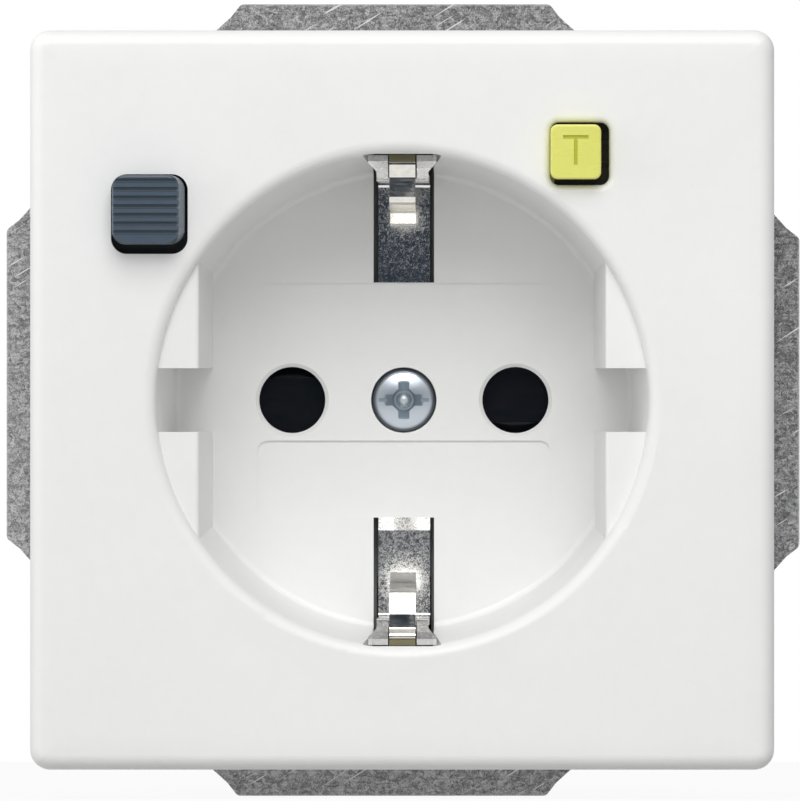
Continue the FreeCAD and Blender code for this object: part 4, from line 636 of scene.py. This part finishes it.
coilSprings = {
    "reset_spring": {"wire": 0.42, "turns": 6, "joint": "reset_press", "travel": 2.5},
    "test_spring": {"wire": 0.42, "turns": 6, "joint": "test_press", "travel": 1.2},
    "bridge_spring": {"wire": 0.5, "turns": 6.5, "joint": "bridge_slide", "travel": 2.5},
}
springSteps = {"sides": 10, "stepsPerTurn": 24, "endTurns": 1}

for node, spring in coilSprings.items():
    low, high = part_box(node)
    length = high.y - low.y
    mesh = coilAlongY(length, (high.x - low.x) / 2, {**spring, **springSteps})
    middle = (low + high) / 2
    bmesh.ops.translate(mesh, verts=mesh.verts, vec=(middle.x, low.y, middle.z))
    piece = finishPiece(mesh, node + "_coil", node, "spring_steel")
    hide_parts(node)
    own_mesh(piece)

contactSprings = {"wire": 0.3, "turns": 2.5, "sides": 8, "stepsPerTurn": 20, "endTurns": 1}

low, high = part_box("contact_springs")
radius = (high.z - low.z) / 2
mesh = coilAlongY(high.y - low.y, radius, contactSprings)
bmesh.ops.translate(mesh, verts=mesh.verts, vec=(low.x + radius, low.y, (low.z + high.z) / 2))
everything = list(mesh.verts) + list(mesh.edges) + list(mesh.faces)
twin = bmesh.ops.duplicate(mesh, geom=everything)["geom"]
bmesh.ops.translate(mesh, verts=pointsOf(twin), vec=(high.x - low.x - 2 * radius, 0, 0))
piece = finishPiece(mesh, "contact_springs_coils", "contact_springs", "spring_steel")
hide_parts("contact_springs")

plungerSpring = {"wire": 0.2, "turns": 4.5, "sides": 8, "stepsPerTurn": 20, "endTurns": 1,
                 "travel": 0.8}

low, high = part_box("plunger_spring")
length = high.x - low.x
mesh = coilAlongY(length, (high.y - low.y) / 2, plungerSpring)
middle = (low + high) / 2
layAlongX(mesh, (low.x, middle.y, middle.z))
piece = finishPiece(mesh, "plunger_spring_coil", "plunger_spring", "spring_steel")
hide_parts("plunger_spring")
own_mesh(piece)
print("springs wound")


# The relay's winding: a sleeve of inner layers under one helix of wire

relayCoil = {"wire": 0.24, "sides": 6, "stepsPerTurn": 28, "endTurns": 0, "inner": 1.97,
             "sleeveSteps": 40}

low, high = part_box("relay_coil")
length = high.x - low.x
outer = (high.z - low.z) / 2
relayCoil["turns"] = math.floor(length / (relayCoil["wire"] * mm)) - 1
mesh = coilAlongY(length, outer, relayCoil)
inner = relayCoil["inner"] * mm
wall = outer - relayCoil["wire"] * mm / 2 - inner
corners = addRectangle(mesh, wall, length, (inner + wall / 2, length / 2, 0))
face = corners[0].link_faces[0]
edges = list(face.edges)
bmesh.ops.delete(mesh, geom=[face], context="FACES_ONLY")
bmesh.ops.spin(mesh, geom=corners + edges, cent=(0, 0, 0), axis=(0, 1, 0), dvec=(0, 0, 0),
               angle=2 * math.pi, steps=relayCoil["sleeveSteps"], use_merge=True, use_duplicate=False)
middle = (low + high) / 2
layAlongX(mesh, (low.x, middle.y, middle.z))
piece = finishPiece(mesh, "relay_coil_turns", "relay_coil", "copper")
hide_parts("relay_coil")


# The transformer's winding: one rounded loop of wire, repeated round the core

toroid = {"wire": 0.42, "turns": 46, "inner": 3.4, "corner": 0.8, "cornerSteps": 3,
          "edgeShare": 0.29, "edgeSteps": 2, "squareAngle": 70}

low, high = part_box("transformer_winding")
outer = (high.x - low.x) / 2
inner = toroid["inner"] * mm
wire = toroid["wire"] * mm
mesh = bmesh.new()
corners = addRectangle(mesh, outer - inner, high.y - low.y, ((outer + inner) / 2, 0, -wire / 2))
bmesh.ops.bevel(mesh, geom=corners, affect="VERTICES", offset=toroid["corner"] * mm,
                offset_type="OFFSET", segments=toroid["cornerSteps"], profile=0.5, material=-1)
# the rim of that plate, raised to the wire's width, is the loop
rim = bmesh.ops.inset_region(mesh, faces=list(mesh.faces), thickness=wire, use_boundary=True,
                             use_even_offset=True)["faces"]
bmesh.ops.delete(mesh, geom=[face for face in mesh.faces if face not in rim], context="FACES")
raised = bmesh.ops.extrude_face_region(mesh, geom=list(mesh.faces))["geom"]
bmesh.ops.translate(mesh, verts=pointsOf(raised), vec=(0, 0, wire))
bmesh.ops.recalc_face_normals(mesh, faces=mesh.faces)
square = [edge for edge in mesh.edges if edge.calc_face_angle(0) > math.radians(toroid["squareAngle"])]
bmesh.ops.bevel(mesh, geom=square, affect="EDGES", offset=toroid["edgeShare"] * wire,
                offset_type="OFFSET", segments=toroid["edgeSteps"], profile=0.5, material=-1)
loop = list(mesh.verts) + list(mesh.edges) + list(mesh.faces)
step = 2 * math.pi / toroid["turns"]
bmesh.ops.spin(mesh, geom=loop, cent=(0, 0, 0), axis=(0, 1, 0), dvec=(0, 0, 0),
               angle=2 * math.pi - step, steps=toroid["turns"] - 1, use_merge=False, use_duplicate=True)
bmesh.ops.translate(mesh, verts=mesh.verts, vec=(low + high) / 2)
piece = finishPiece(mesh, "transformer_winding_turns", "transformer_winding", "copper")
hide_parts("transformer_winding")
print("windings wound")


# Floor, light and camera. The camera sees the floor and the air as white.

stage = {"floorHalf": 0.3, "floorTone": 0.55, "floorGlow": 0.94, "gap": 0.0002}


def makeFloor():
    mesh = bmesh.new()
    bmesh.ops.create_grid(mesh, x_segments=1, y_segments=1, size=stage["floorHalf"])
    bmesh.ops.translate(mesh, verts=mesh.verts, vec=(0, 0, cadBounds[0].z - stage["gap"]))
    floor = addObject(mesh, "floor")
    finish = bpy.data.materials.new("paleFloor")
    finish.use_nodes = True
    finish.node_tree.nodes.clear()
    kit = {"tree": finish.node_tree}
    seen = addNode(kit, "ShaderNodeLightPath").outputs
    matt = addNode(kit, "ShaderNodeBsdfDiffuse", {"Color": opaque((stage["floorTone"],) * 3)})
    glow = addNode(kit, "ShaderNodeEmission", {"Color": opaque((1, 1, 1)), "Strength": 1.0})
    plain = combine(kit, seen["Is Glossy Ray"], seen["Is Transmission Ray"], "MAXIMUM")
    plain = combine(kit, plain, seen["Is Camera Ray"], "MAXIMUM")
    share = combine(kit, plain, stage["floorGlow"], "MULTIPLY")
    mixed = addNode(kit, "ShaderNodeMixShader", {0: share, 1: matt.outputs[0], 2: glow.outputs[0]})
    addNode(kit, "ShaderNodeOutputMaterial", {"Surface": mixed.outputs[0]})
    floor.data.materials.append(finish)


studio = {
    "below": 0.13, "above": 0.34, "heights": (-0.5, 0.5),
    "frontGlow": 0.80, "frontReach": (-1.0, -0.6),
    "leftGlow": 2.4, "leftReach": (-1.0, -0.75),
    "dimFront": (0.026, 0.037, 0.052), "dimReach": (-0.985, -0.72),
    "lowCloth": 0.55, "cloth": 0.95, "clothHeights": (-0.6, -0.1),
}


def grey(kit, level):
    return addNode(kit, "ShaderNodeCombineColor", {
        "Red": level, "Green": level, "Blue": level}).outputs[0]


def makeWorld():
    world = bpy.data.worlds.new("studio")
    bpy.context.scene.world = world
    world.use_nodes = True
    world.node_tree.nodes.clear()
    kit = {"tree": world.node_tree}
    seen = addNode(kit, "ShaderNodeLightPath").outputs
    direction = addNode(kit, "ShaderNodeTexCoord").outputs["Generated"]
    way = addNode(kit, "ShaderNodeSeparateXYZ", {"Vector": direction}).outputs
    # what lights matt surfaces: a soft sky with more light from the front and the left
    soft = combine(kit, between(kit, way["Z"], studio["below"], studio["above"], *studio["heights"]),
                   between(kit, way["Y"], studio["frontGlow"], 0.0, *studio["frontReach"]))
    soft = combine(kit, soft, between(kit, way["X"], studio["leftGlow"], 0.0, *studio["leftReach"]))
    # what polished metal mirrors: a dim room in front of the socket, bright cloth all round
    cloth = between(kit, way["Z"], studio["lowCloth"], studio["cloth"], *studio["clothHeights"])
    aside = between(kit, way["Y"], 0.0, 1.0, *studio["dimReach"])
    mirrored = blendColours(kit, aside, studio["dimFront"], grey(kit, cloth))
    level = blendColours(kit, seen["Is Glossy Ray"], grey(kit, soft), mirrored)
    plain = combine(kit, seen["Is Camera Ray"], seen["Is Transmission Ray"], "MAXIMUM")
    colour = blendColours(kit, plain, level, (1, 1, 1))
    sky = addNode(kit, "ShaderNodeBackground", {"Color": colour, "Strength": 1.0})
    addNode(kit, "ShaderNodeOutputWorld", {"Surface": sky.outputs[0]})


keyLight = {"place": (-0.01, -0.62, 0.60), "size": 0.60, "watts": 4.5}


def makeLight(name, lamp):
    data = bpy.data.lights.new(name, "AREA")
    data.shape = "SQUARE"
    data.size = lamp["size"]
    data.energy = lamp["watts"]
    light = bpy.data.objects.new(name, data)
    bpy.context.scene.collection.objects.link(light)
    light.location = lamp["place"]
    light.rotation_euler = (-Vector(lamp["place"])).to_track_quat("-Z", "Y").to_euler()


view = {"aim": (-0.00017, -0.0105, -0.00004), "turn": 0.5, "distance": 3.0, "widthSeen": 0.0678,
        "sensor": 36, "clip": (0.1, 20)}


def makeCamera():
    data = bpy.data.cameras.new("camera")
    data.sensor_width = view["sensor"]
    data.lens = view["sensor"] * view["distance"] / view["widthSeen"]
    data.clip_start, data.clip_end = view["clip"]
    camera = bpy.data.objects.new("camera", data)
    bpy.context.scene.collection.objects.link(camera)
    turn = math.radians(view["turn"])
    away = Vector((math.sin(turn), -math.cos(turn), 0))
    camera.location = Vector(view["aim"]) + away * view["distance"]
    camera.rotation_euler = (-away).to_track_quat("-Z", "Y").to_euler()
    bpy.context.scene.camera = camera


makeFloor()
makeWorld()
makeLight("keyLight", keyLight)
makeCamera()
bpy.context.scene.view_settings.view_transform = "Standard"
print("stage, light and camera set")
